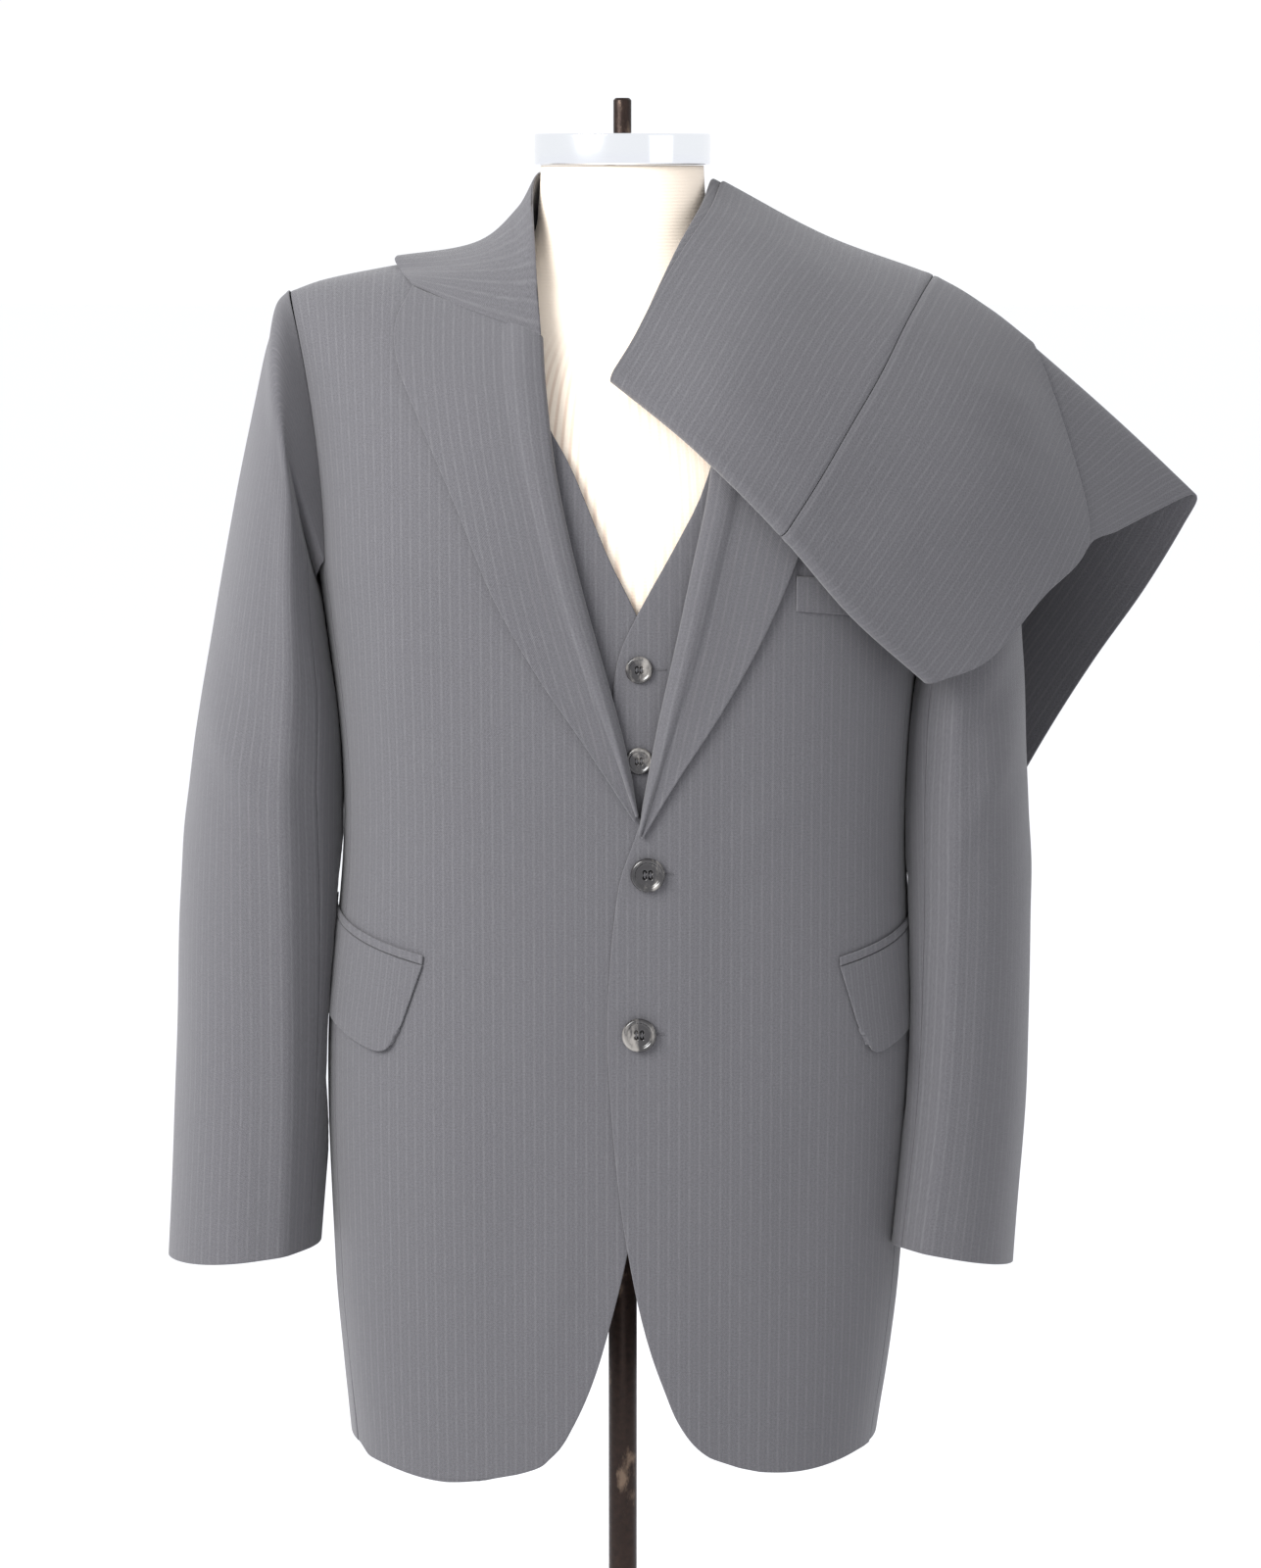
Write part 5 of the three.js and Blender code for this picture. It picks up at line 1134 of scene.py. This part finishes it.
SIDE_SEAM = dict(high=0.7, wide=5, deep=0.9, narrow=1.6)
under_knee, round_knee = np.linspace(1.9, 1.04, 8), np.linspace(1, 0, 17, endpoint=False)
fold_turns = np.concatenate([[2, 1.985, 1.96], under_knee, round_knee])
leg_v = np.concatenate([np.linspace(0, 0.998, 150), [0.9989, 0.9994, 1]])
for name, low, high in (("trousers_front_panel", 0.0, 0.4994), ("trousers_back_panel", 0.5006, 1.0)):
    u = (low + (high - low) * crowded(46, 130))[:, None]
    turned = fold_points(u, fold_turns[None, :], 0.0)
    top = leg_points(u, leg_v[None, :])
    relief = leg_relief(u, leg_v[None, :])
    from_seam = (u - 0.5) * LEG_WIDTH
    seam = SIDE_SEAM["high"] * np.exp(-(from_seam / SIDE_SEAM["wide"]) ** 2)
    seam = seam - SIDE_SEAM["deep"] * np.exp(-(from_seam / SIDE_SEAM["narrow"]) ** 2)
    folded = relief[:, :1] * ease(1, 0, fold_turns)[None, :]
    relief = np.concatenate([seam + folded, seam + relief], 1)
    points = np.concatenate([turned, top], 1)
    along = lengths(points, 1)
    start = lengths(top, 0)
    across = np.concatenate([start[:, :1] + 0 * fold_turns[None, :], start], 1)
    cloth(name, points, 1, (across, along), thick=TROUSER["cloth"], relief=relief, held="folded",
          rests=["trousers_second_leg", "jacket_front_left", "jacket_back_left"])

# %% [markdown]
# ## The second leg and the layers between
# The second leg follows the first a few millimetres lower. It shows as a sliver past the
# front crease and as the flap beyond the back crease. The hidden layers between are one
# rounded body with stepped edges.

# %% Second leg
v = np.concatenate([[1 / 18, 0.0558, 0.0561], np.linspace(0.057, 0.998, 150), [0.9989, 0.9995, 1]])
row = v * 10
depth = TROUSER["cloth"] + TROUSER["gap"]
sliver = 0.1 + TROUSER["sliver"] * ease(0.13, 0.42, v) * (1 - ease(0.55, 0.62, v))
beyond = np.array([1, 0.965, 0.9, 0.75, 0.5, 0.25])[:, None] * sliver[None, :]
first = layer_points(np.zeros((6, 1)), v[None, :], depth, beyond)
under = layer_points(np.linspace(0.02, 0.97, 34)[:, None], v[None, :], depth)
last = layer_points(np.ones((1, 1)), v[None, :], depth, -OUTER_FLAP["tuck"])
flap_row = np.maximum(OUTER_FLAP["first"], row)
rim = np.stack([lookup(SECOND_LEG["row"], SECOND_LEG[k], flap_row) for k in "xyz"], -1)
show = ease(OUTER_FLAP["start"], OUTER_FLAP["end"], row)
out = (rim - leg_points(np.ones_like(v), flap_row / 10)) * show[:, None]
t = np.concatenate([np.linspace(0.04, 0.985, 34), [0.992, 0.997, 1]])[:, None]
belly = OUTER_FLAP["belly"] * np.sin(math.pi * t) * ease(3.2, 4.4, row) * (1 - ease(6.5, 8.5, row))
swell = leg_frames(np.ones_like(v), v)[None] * (belly * show)[..., None]
points = np.concatenate([first, under, last, last + out[None] * t[..., None] + swell])
measured = lengths(points, 0)
stripes = (measured - measured[-1:], lengths(points, 1))
cloth("trousers_second_leg", points, 1, stripes, thick=TROUSER["second"], held="folded",
      rests=["jacket_front_left", "sleeve_left_top", "jacket_back_left"])

# %% [markdown]
# Between the two legs' outer cloth lie the layers that nobody sees. They are one closed body
# whose edges step in and out, so that from the side it still reads as a stack of cloth.

# %% Hidden layers
def stepped(first, last, count=14):
    """How far the layers' edges stand back: three steps between two depths, as a cosine wave."""
    return -(first + (last - first) * (0.5 - 0.5 * np.cos(np.linspace(0, 4 * math.pi, count))))


def end_ways(u, row, inner):
    """Unit directions out of the leg's end at row, from a point just inside it."""
    way = leg_points(u, np.full_like(u, row)) - leg_points(u, np.full_like(u, inner))
    return way / np.linalg.norm(way, axis=-1, keepdims=True)


def hidden_layers():
    """A closed tube of rings, each a flat loop round the stack with stepped edges."""
    cloth_gap = TROUSER["cloth"] + TROUSER["gap"]
    top = TROUSER["cloth"] + TROUSER["second"] + 2.4 * TROUSER["gap"]
    columns, steps, flat = np.linspace(0.03, 0.97, 40), np.linspace(-1, 1, 14), np.ones(40)
    u = np.concatenate([columns, np.ones(14), columns[::-1], np.zeros(14)])
    share = np.concatenate([-flat, steps, flat, steps[::-1]])
    beyond = np.concatenate([0 * flat, stepped(*STEP_IN["back"]), 0 * flat, stepped(*STEP_IN["front"])])
    nose_half = (TROUSER["stack"] - 2 * TROUSER["cloth"] - 3 * TROUSER["gap"] - TROUSER["second"]) / 2
    turned = np.linspace(math.pi / 2 * 0.97, 0, 8, endpoint=False)
    v = np.concatenate([np.zeros(8), np.linspace(0, 1, 90), np.ones(3)])
    squeeze = np.concatenate([np.cos(turned), np.ones(90), [0.8, 0.45, 0.02]])
    ahead = np.concatenate([nose_half * np.sin(turned), np.zeros(90), [0.4, 0.7, 0.8]])
    low = TROUSER["thin"] + (TROUSER["stack"] - TROUSER["thin"]) * ease(0, 0.3, u) - cloth_gap
    depth = (top + low)[:, None] / 2 + (low - top)[:, None] / 2 * share[:, None] * squeeze[None, :]
    points = layer_points(u[:, None], v[None, :], depth, beyond[:, None])
    move = np.where((v < 0.5)[None, :, None], end_ways(u, 0, 0.01)[:, None], end_ways(u, 1, 0.99)[:, None])
    points = points + move * ahead[None, :, None]
    count, rings = points.shape[:2]
    index = np.arange(rings * count).reshape(rings, count)
    ring = np.roll(np.arange(count), 7)
    faces = [grid_faces(index.T, closed=0), lid(ring, flip=True), lid(ring + (rings - 1) * count)]
    uv = np.stack([lengths(points, 0), lengths(points, 1)], -1).transpose(1, 0, 2).reshape(-1, 2)
    vertices = points.transpose(1, 0, 2).reshape(-1, 3)
    name = "trousers_inner_layers"
    piece = build(name, vertices, faces, WORSTED, name, uv=uv)
    declare(name, piece, points[:40], "folded", ["trousers_second_leg"], LEG_WIDTH * MM, LEG_LENGTH * MM)


hidden_layers()

# %% [markdown]
# The waistband is a straight strip, 38 mm high, sewn round the top of the trousers. Folded
# flat it shows as one band outside the stack and one inside it.

# %% Waistband
WAISTBAND = dict(high=38, thick=2)
band = WAISTBAND["high"] / LEG_LENGTH
v = (1 - band + band * crowded(16, WAISTBAND["high"]))[None, :]
u = (0.004 + 0.992 * crowded(60, 250))[:, None]
inside = TROUSER["stack"] - TROUSER["cloth"] - TROUSER["gap"] + LIFT
for name, depth in (("waistband_outer", -LIFT - WAISTBAND["thick"]), ("waistband_inner", inside)):
    points = layer_points(u, v, depth)
    cloth(name, points, 1, (lengths(points, 1), lengths(points, 0)), thick=WAISTBAND["thick"], held="folded",
          rests=["trousers_back_panel"])

# %% [markdown]
# ## Round metal and horn
# Anything turned on a lathe is a profile carried round an axis. The buttons are horn with
# a raised rim, a dished middle and four holes; the neck cap is chromed; the pole and base
# are dark bronzed iron, rubbed pale where hands and clamps have worn them.

# %% Turned pieces
def turned_faces(sides, rows):
    """Faces of a turned piece: its grid, and a fan round each pole; the poles are numbered last."""
    index = np.arange(sides * rows).reshape(sides, rows)
    fans = [np.stack([np.full(sides, sides * rows + pole), ring, np.roll(ring, -1)], -1)
            for pole, ring in enumerate((index[::-1, 0], index[:, -1]))]
    return [grid_faces(index, closed=0), *fans]


def lathe(name, profile, sides, material, node):
    """A profile of (radius, height) points carried round +Z; both ends lie on the axis."""
    r, z = np.array(profile, float).T
    turn = np.linspace(0, 2 * math.pi, sides, endpoint=False)[:, None]
    rings = np.stack([r[1:-1] * np.cos(turn), r[1:-1] * np.sin(turn), z[1:-1] + 0 * turn], -1)
    vertices = np.concatenate([rings.reshape(-1, 3), [[0, 0, z[0]], [0, 0, z[-1]]]])
    piece = build(name, vertices, turned_faces(sides, len(r) - 2), material, node)
    print(f"{name}: {len(piece.data.polygons)} faces, radius {r.max():.1f}, {z[0]:.1f} to {z[-1]:.1f} mm up")


def rounded(profile, radius, steps=4):
    """Each inner corner of a profile replaced by a short arc of the given radius."""
    points = [np.array(p, float) for p in profile]
    out = [points[0]]
    for before, corner, after in zip(points, points[1:], points[2:]):
        a, b = before - corner, after - corner
        reach = min(radius, np.linalg.norm(a) / 2.2, np.linalg.norm(b) / 2.2)
        a, b = a / np.linalg.norm(a) * reach, b / np.linalg.norm(b) * reach
        for t in np.linspace(0, 1, steps):
            out.append(corner + a * (1 - t) ** 2 + b * t**2)
    return out + [points[-1]]


print("a square corner rounded:", len(rounded([(0, 0), (1, 0), (1, 1)], 0.2)), "points")

# %% [markdown]
# Bronzed iron keeps a brown-black skin over pale metal. The wear follows noise stretched
# round the pole, so it reads as rub marks and not as speckle.

# %% Bronzed iron and chrome
def bronzed(name, dark, brown, worn):
    """Brown-black skin that noise rubs through to the worn colour, with a fine cast grain."""
    material, tree, shader = new_material(name, Metallic=0.75)
    place = add_node(tree, "TexCoord", out="Object")
    drawn = add_node(tree, "Mapping", place, Scale=(1.0, 1.0, 0.45))
    wear = add_node(tree, "TexNoise", drawn, Scale=42, Detail=5, Roughness=0.65)
    wear = add_node(tree, "MapRange", wear, From_Min=0.55, From_Max=0.68, interpolation_type="SMOOTHSTEP")
    wear = add_node(tree, "Math", wear, 0.8, operation="MULTIPLY")
    fine = add_node(tree, "TexNoise", place, Scale=260, Detail=3, Roughness=0.5)
    skin = add_node(tree, "Mix", fine, i6=linear(dark), i7=linear(brown), data_type="RGBA", out=2)
    skin = add_node(tree, "Mix", wear, i6=skin, i7=linear(worn), data_type="RGBA", out=2)
    tree.links.new(skin, shader.inputs["Base Color"])
    matt = add_node(tree, "Math", fine, 0.25, 0.28, operation="MULTIPLY_ADD")
    tree.links.new(matt, shader.inputs["Roughness"])
    bump = add_node(tree, "Bump", Strength=0.3, Distance=0.0006, Height=fine)
    tree.links.new(bump, shader.inputs["Normal"])
    return material


def chromed(name):
    """Bright chrome plate, its roughness uneven where hands have smeared it."""
    material, tree, shader = new_material(name, Metallic=1.0, Base_Color=linear("#eceef0"))
    place = add_node(tree, "TexCoord", out="Object")
    smear = add_node(tree, "TexNoise", place, Scale=30, Detail=3, Roughness=0.5)
    smear = add_node(tree, "Math", smear, 0.12, 0.07, operation="MULTIPLY_ADD")
    tree.links.new(smear, shader.inputs["Roughness"])
    return material


BRONZED = bronzed("bronzed_iron", dark="#1c1614", brown="#3a2c26", worn="#7d6a5a")
CHROME = chromed("polished_chrome")
print("materials", BRONZED.name, CHROME.name)

# %% [markdown]
# The stand and the cap are plain turned profiles, each given as its corners from the bottom
# of the axis to the top. The base and the flange are the plainest that carry the weight.

# %% Stand, cap and rod
BASE_RADIUS, HUB_RADIUS, HUB_TOP, POLE_RADIUS = 215, 27, 84, 9.8
FORM_UNDER = 832
FLANGE = dict(radius=46, thick=12)
CAP = dict(radius=58.5, bottom=1548.6, top=1569)
FINIAL = dict(radius=6, top=1592.5)


def disc(radius, low, high, bevel=0.0):
    """Profile of a disc or rod, its upper corner cut by bevel."""
    corner = [(radius, high - bevel), (radius - bevel, high)] if bevel else [(radius, high)]
    return [(0, low), (radius, low), *corner, (0, high)]


dome = [(BASE_RADIUS - 5 + (HUB_RADIUS + 17 - BASE_RADIUS) * t, 12 + 26 * math.sin(t * math.pi / 2) ** 1.5)
        for t in np.linspace(0, 1, 22)]
hub = [(HUB_RADIUS + 4, 44), (HUB_RADIUS, 54), (HUB_RADIUS, HUB_TOP - 4), (HUB_RADIUS - 4, HUB_TOP),
       (0, HUB_TOP)]
base = [(0, 0), (BASE_RADIUS - 2, 0), (BASE_RADIUS, 2), (BASE_RADIUS, 8), *dome, *hub]
under = FORM_UNDER - FLANGE["thick"] - SEAM
wide, over = FLANGE["radius"], under + FLANGE["thick"]
flange = [(0, under), (wide - 2, under), (wide, under + 2), (wide, over), (0, over)]
pole = disc(POLE_RADIUS, HUB_TOP + SEAM, under - SEAM)
cap = disc(CAP["radius"], CAP["bottom"], CAP["top"])
rod = disc(FINIAL["radius"], CAP["top"] + SEAM, FINIAL["top"], bevel=1.5)
lathe("stand_base_casting", rounded(base, 2.5), 128, BRONZED, "stand_base")
lathe("stand_pole_tube", rounded(pole, 0.6), 48, BRONZED, "stand_pole")
lathe("form_flange_plate", rounded(flange, 1.2), 64, BRONZED, "form_flange")
lathe("neck_cap_plate", rounded(cap, 1.6, 6), 128, CHROME, "neck_cap")
lathe("finial_rod_end", rounded(rod, 0.5), 40, BRONZED, "finial_rod")

# %% [markdown]
# ## The dress form
# The form is padded and pulled into a ribbed cotton knit, whose ribs run up and down about
# 4 mm apart. The ribs are real ridges on the surface: each column of the grid steps in or
# out by a fraction of a millimetre, and they draw together as the neck narrows.

# %% Dress form
FORM = dict(
    z=[832, 836, 850, 900, 960, 1080, 1165, 1230, 1290, 1350, 1400, 1428, 1448, 1462,
       1474, 1486, 1502, 1525, 1548],
    half=[150, 163, 169, 174, 174, 166, 170, 179, 187, 190, 193, 196, 190, 152, 108, 76, 60, 56, 54.5],
    front=[94, 106, 112, 116, 117, 117, 124, 130, 132, 126, 109, 95, 84, 76, 68, 62.5, 58, 55.5, 54.5],
    back=[92, 104, 110, 113, 109, 94, 99, 108, 114, 109, 94, 82, 72, 65, 57, 54.5, 55, 55, 54.5],
    square=[2.3, 2.3, 2.3, 2.4, 2.4, 2.4, 2.4, 2.4, 2.4, 2.3, 2.1, 1.85, 1.6, 1.5, 1.6, 1.85, 2, 2, 2],
)
RIBS, RIB_HIGH = 232, 0.16
RIBS_FADE = (1395, 1450)
COURSE_PITCH = 0.0022


def rib_knit(name):
    """Cream cotton rib knit: pale on the ribs, with painted shade (a warmer, darker colour) in the grooves
    and a fine stitch grain.
    """
    material, tree, shader = new_material(name, Roughness=0.9, Sheen_Weight=0.3, Sheen_Roughness=0.4,
                                          Specular_IOR_Level=0.2)
    cloth = add_node(tree, "UVMap", uv_map="cloth")
    across, along = add_node(tree, "SeparateXYZ", cloth).node.outputs[:2]
    wale = add_node(tree, "Math", across, 2 * math.pi / MM, operation="MULTIPLY")
    wale = add_node(tree, "Math", wale, operation="SINE")
    course = add_node(tree, "Math", along, 2 * math.pi / COURSE_PITCH, operation="MULTIPLY")
    course = add_node(tree, "Math", course, operation="SINE")
    place = add_node(tree, "TexCoord", out="Object")
    stain = add_node(tree, "TexNoise", place, Scale=9, Detail=3, Roughness=0.5)
    grain = add_node(tree, "TexNoise", place, Scale=700, Detail=2, Roughness=0.5)
    ridge = add_node(tree, "MapRange", wale, From_Min=-1.0, From_Max=0.3, interpolation_type="SMOOTHSTEP")
    bare = add_node(tree, "MapRange", along, From_Min=RIBS_FADE[0] * MM, From_Max=RIBS_FADE[1] * MM,
                    interpolation_type="SMOOTHSTEP")
    ridge = add_node(tree, "Math", ridge, bare, operation="MAXIMUM")
    # The grooves between the ribs get a warmer, darker colour, which is painted shade. It fades out towards
    # the neck, as the ribs do.
    painted_groove_shade, pale = linear("#e4cdba"), linear("#f9ebda")
    ground = add_node(tree, "Mix", ridge, i6=painted_groove_shade, i7=pale, data_type="RGBA", out=2)
    for pattern, strength, colour in ((stain, 0.35, "#f4e6d0"), (grain, 0.15, "#e9dcca")):
        share = add_node(tree, "Math", pattern, strength, operation="MULTIPLY")
        ground = add_node(tree, "Mix", share, i6=ground, i7=linear(colour), data_type="RGBA", out=2)
    tree.links.new(ground, shader.inputs["Base Color"])
    relief = add_node(tree, "Math", course, 0.3, grain, operation="MULTIPLY_ADD")
    bump = add_node(tree, "Bump", Strength=0.3, Distance=0.0004, Height=relief)
    tree.links.new(bump, shader.inputs["Normal"])
    return material


KNIT = rib_knit("cream_rib_knit")
print("material", KNIT.name)

# %% [markdown]
# The form's own shape is a stack of superellipses, like the jacket's, read from the table at
# closely spaced heights. Four columns carry each rib: one on its crest, one in its groove and
# two between. The surface lies 0.3 mm inside the solid's, so the ribs don't press on the cloth.

# %% The form's surface
def form_at(key, height):
    """One of the form's measures at a height."""
    return lookup(FORM["z"], FORM[key], height)


columns = RIBS * 4
turn = np.linspace(0, 2 * math.pi, columns, endpoint=False)[:, None]
body_heights = refine([836, 850, 900, 1080, 1165, 1230], 4)[:-1]
neck_heights = refine([1230, 1290, 1350, 1400, 1428, 1448, 1462, 1474, 1486, 1502, 1525, 1548], 6)
heights = np.concatenate([[832, 832.6, 834], body_heights, neck_heights])[None, :]
power_of = 2 / form_at("square", heights)
depth = np.where(np.sin(turn) < 0, form_at("front", heights), form_at("back", heights))
rib = RIB_HIGH * np.cos(turn * RIBS) * ease(840, 900, heights) * (1 - ease(*RIBS_FADE, heights))
x = form_at("half", heights) * power(np.cos(turn), power_of)
y = depth * power(np.sin(turn), power_of)
grow = 1 + (rib - SEAM) / np.hypot(x, y)
points = np.stack([x * grow, y * grow, heights + 0 * turn], -1)
index = np.arange(columns * heights.size).reshape(columns, heights.size)
faces = [grid_faces(index, closed=0), lid(index[:, 0], flip=True), lid(index[:, -1])]
uv = np.stack([turn * RIBS / (2 * math.pi) + 0 * heights, heights + 0 * turn], -1).reshape(-1, 2)
form = build("form_cover_knit", points.reshape(-1, 3), faces, KNIT, "form_torso", uv)
print("form_cover_knit:", len(form.data.polygons), "faces")

# %% [markdown]
# ## Buttons and buttonholes
# Each button is turned, then four holes are sunk into it, and thread crosses them. A
# buttonhole is a narrow bar of close stitches beside the button, on the left front only.

# %% Horn and thread
def horn(name):
    """Polished dark horn: smoky streaks from stretched noise under a clear polish."""
    material, tree, shader = new_material(name, Roughness=0.22, IOR=1.54, Coat_Weight=0.35,
                                          Coat_Roughness=0.08)
    drawn = add_node(tree, "Mapping", add_node(tree, "TexCoord", out="Object"), Scale=(1.0, 1.0, 0.4))
    cloud = add_node(tree, "TexNoise", drawn, Scale=120, Detail=4, Roughness=0.6)
    cloud = add_node(tree, "MapRange", cloud, From_Min=0.42, From_Max=0.66, interpolation_type="SMOOTHSTEP")
    smoke = add_node(tree, "Mix", cloud, i6=linear("#211f20"), i7=linear("#85817c"), data_type="RGBA", out=2)
    tree.links.new(smoke, shader.inputs["Base Color"])
    return material


def thread(name):
    """Twisted grey silk: two tones in fine noise."""
    material, tree, shader = new_material(name, Roughness=0.75, Sheen_Weight=0.2, Specular_IOR_Level=0.3)
    place = add_node(tree, "TexCoord", out="Object")
    twist = add_node(tree, "TexNoise", place, Scale=2600, Detail=2, Roughness=0.5)
    tones = add_node(tree, "Mix", twist, i6=linear("#57565a"), i7=linear("#3c3b3d"), data_type="RGBA", out=2)
    tree.links.new(tones, shader.inputs["Base Color"])
    return material


HORN, THREAD = horn("dark_horn"), thread("buttonhole_silk")
print("materials", HORN.name, THREAD.name)

# %% [markdown]
# A button is a lathe's profile again, but its face also sinks at four places, so it is a grid
# of its own: its height is the profile's, less four bell-shaped wells. It is then set on the
# cloth by three directions: sideways, up, and straight out of the surface.

# %% Buttons and their thread
WELL_REACH, WELL_SPREAD = 0.11, 0.17
THREAD_HALF = 0.42


def button_grid(radius, thick):
    """Rings of a turned disc from its underside up; its face sinks by half in each of four wells."""
    edge = [0.94, 0.97, 0.99, 1.0, 1.0, 0.97, 0.9, 0.8]
    r = np.concatenate([[0.02], np.linspace(0.06, 0.66, 22), np.linspace(0.69, 0.9, 9), edge])
    face = np.where(r < 0.68, 0.62, 0.62 + 0.38 * np.sin(np.clip((r - 0.68) / 0.2, 0, 1) * math.pi / 2))
    face = np.where(r > 0.88, 1 - 0.35 * ((r - 0.88) / 0.12) ** 2, face)
    face[-4:] = [0.45, 0.22, 0.08, 0.0]
    turn = np.linspace(0, 2 * math.pi, 72, endpoint=False)[:, None]
    x, y = radius * r * np.cos(turn), radius * r * np.sin(turn)
    reach, spread = radius * WELL_REACH, radius * WELL_SPREAD
    wells = sum(np.exp(-(((x - a * spread) ** 2 + (y - b * spread) ** 2) / reach**2) ** 2)
                for a in (-1, 1) for b in (-1, 1))
    on_top = np.arange(len(r)) < len(r) - 6
    z = thick * (face - np.where(on_top, 0.5 * wells, 0))
    return np.stack([x, y, z], -1)[:, ::-1]


def stitch(name, place, basis, spread, high):
    """Two bars of thread through the wells, each a tube that swells in the middle and dips at its ends."""
    t = np.linspace(-1, 1, 15)[:, None]
    turn = np.linspace(0, 2 * math.pi, 10, endpoint=False)[None, :]
    thin = THREAD_HALF * np.sqrt(np.maximum(1 - np.abs(t) ** 8, 0.02))
    rise = high + 0.25 + 0.25 * np.cos(math.pi / 2 * t) - 1.1 * np.abs(t) ** 6
    tube = np.stack([thin * np.cos(turn), t * spread + 0 * turn, rise + thin * np.sin(turn)], -1)
    bars = np.stack([tube + [side * spread, 0, 0] for side in (-1, 1)])
    index = np.arange(tube.size // 3).reshape(tube.shape[:2])
    one = [grid_faces(index, closed=1), lid(index[0]), lid(index[-1], flip=True)]
    faces = [part + bar * index.size for bar in (0, 1) for part in one]
    build(name, bars.reshape(-1, 3) @ basis + place, faces, THREAD)


def place_button(name, place, normal, radius, thick, node):
    """A button with its underside's middle at place, facing along normal, and its thread."""
    side = np.array([1.0, 0, 0]) - normal * normal[0]
    side /= np.linalg.norm(side)
    basis = np.stack([side, np.cross(normal, side), normal])
    grid = button_grid(radius, thick)
    poles = [[0, 0, 0], grid[:, -1].mean(0)]
    vertices = np.concatenate([grid.reshape(-1, 3), poles]) @ basis + place
    build(name, vertices, turned_faces(*grid.shape[:2]), HORN, node)
    stitch(name + "_thread", place, basis, radius * WELL_SPREAD, thick * 0.55)


def on_front(x, z, height):
    """Points of the front at x and z, raised by height; above the jacket's cloth they follow its folds."""
    point, normal = front_at(x, z)
    relief = body_relief(point, -1) if height > 0 else 0 * x
    return point + normal * (height + relief)[:, None], normal


# Where each button is sewn, its size, its height and its buttonhole's over the jacket's surface.
BUTTONS = dict(
    jacket=dict(name="horn_button", at=[(16.5, 1092), (11, 985)], radius=11.2, thick=4.0,
                height=OVERLAP["lift"] + LIFT, hole_from=11.6, hole=5.5, hole_height=OVERLAP["lift"] + 0.1),
    vest=dict(name="vest_horn_button", at=[(11, 1226 - 60 * i) for i in range(5)], radius=8.8, thick=2.6,
              height=SEAM - VEST_DEPTH, hole_from=9.2, hole=9, hole_height=0.1 - VEST_DEPTH),
)
for garment, row in BUTTONS.items():
    for i, (x, z) in enumerate(row["at"], 1):
        points, normals = on_front(np.array([float(x)]), np.array([float(z)]), row["height"])
        place_button(f"{row['name']}_{i}", points[0], normals[0], row["radius"], row["thick"],
                     f"{garment}_button_{i}")
    print(garment, "buttons", len(row["at"]), "of", 2 * row["radius"], "mm")

# %% [markdown]
# A buttonhole is worked with close stitches over a cut. The bar here is an oval section
# carried along the cloth, a little uneven along its length, as hand-worked stitches are.

# %% Buttonholes
BAR_HALF_WIDE, BAR_HALF_HIGH = 0.75, 0.35


def buttonhole(name, start, length, z, height):
    """An oval section carried along x on the cloth, drawn in at both ends."""
    t = np.linspace(0, 1, 31)
    x = start + length * t
    centre, normal = on_front(x, np.full_like(x, z), height)
    full = np.sqrt(np.maximum(1 - np.abs(2 * t - 1) ** 6, 0.02)) * (1 + 0.12 * np.sin(t * length * 9))
    full = full[:, None, None]
    turn = np.linspace(0, 2 * math.pi, 12, endpoint=False)[None, :, None]
    up = np.cross(normal, np.array([1.0, 0, 0]))[:, None]
    wide, high = BAR_HALF_WIDE * full * np.cos(turn), BAR_HALF_HIGH * full * np.sin(turn)
    points = centre[:, None] + wide * up + high * normal[:, None]
    index = np.arange(points.size // 3).reshape(points.shape[:2])
    faces = [grid_faces(index, flip=True, closed=1), lid(index[0], flip=True), lid(index[-1])]
    build(name, points.reshape(-1, 3), faces, THREAD)


for garment, row in BUTTONS.items():
    for i, (x, z) in enumerate(row["at"], 1):
        buttonhole(f"{garment}_buttonhole_{i}", x + row["hole_from"], row["hole"], z, row["hole_height"])
print("buttonholes", sum(len(row["at"]) for row in BUTTONS.values()))

# %% [markdown]
# ## Declaring the cloth
# Every sheet states the flat piece it was cut as: its widest and longest measure and the
# area between. The numbers come from the grids themselves, as a cutter would lay a tape
# along the cloth.

for name, sheet in SHEETS.items():
    wide, long = sheet["flat"]
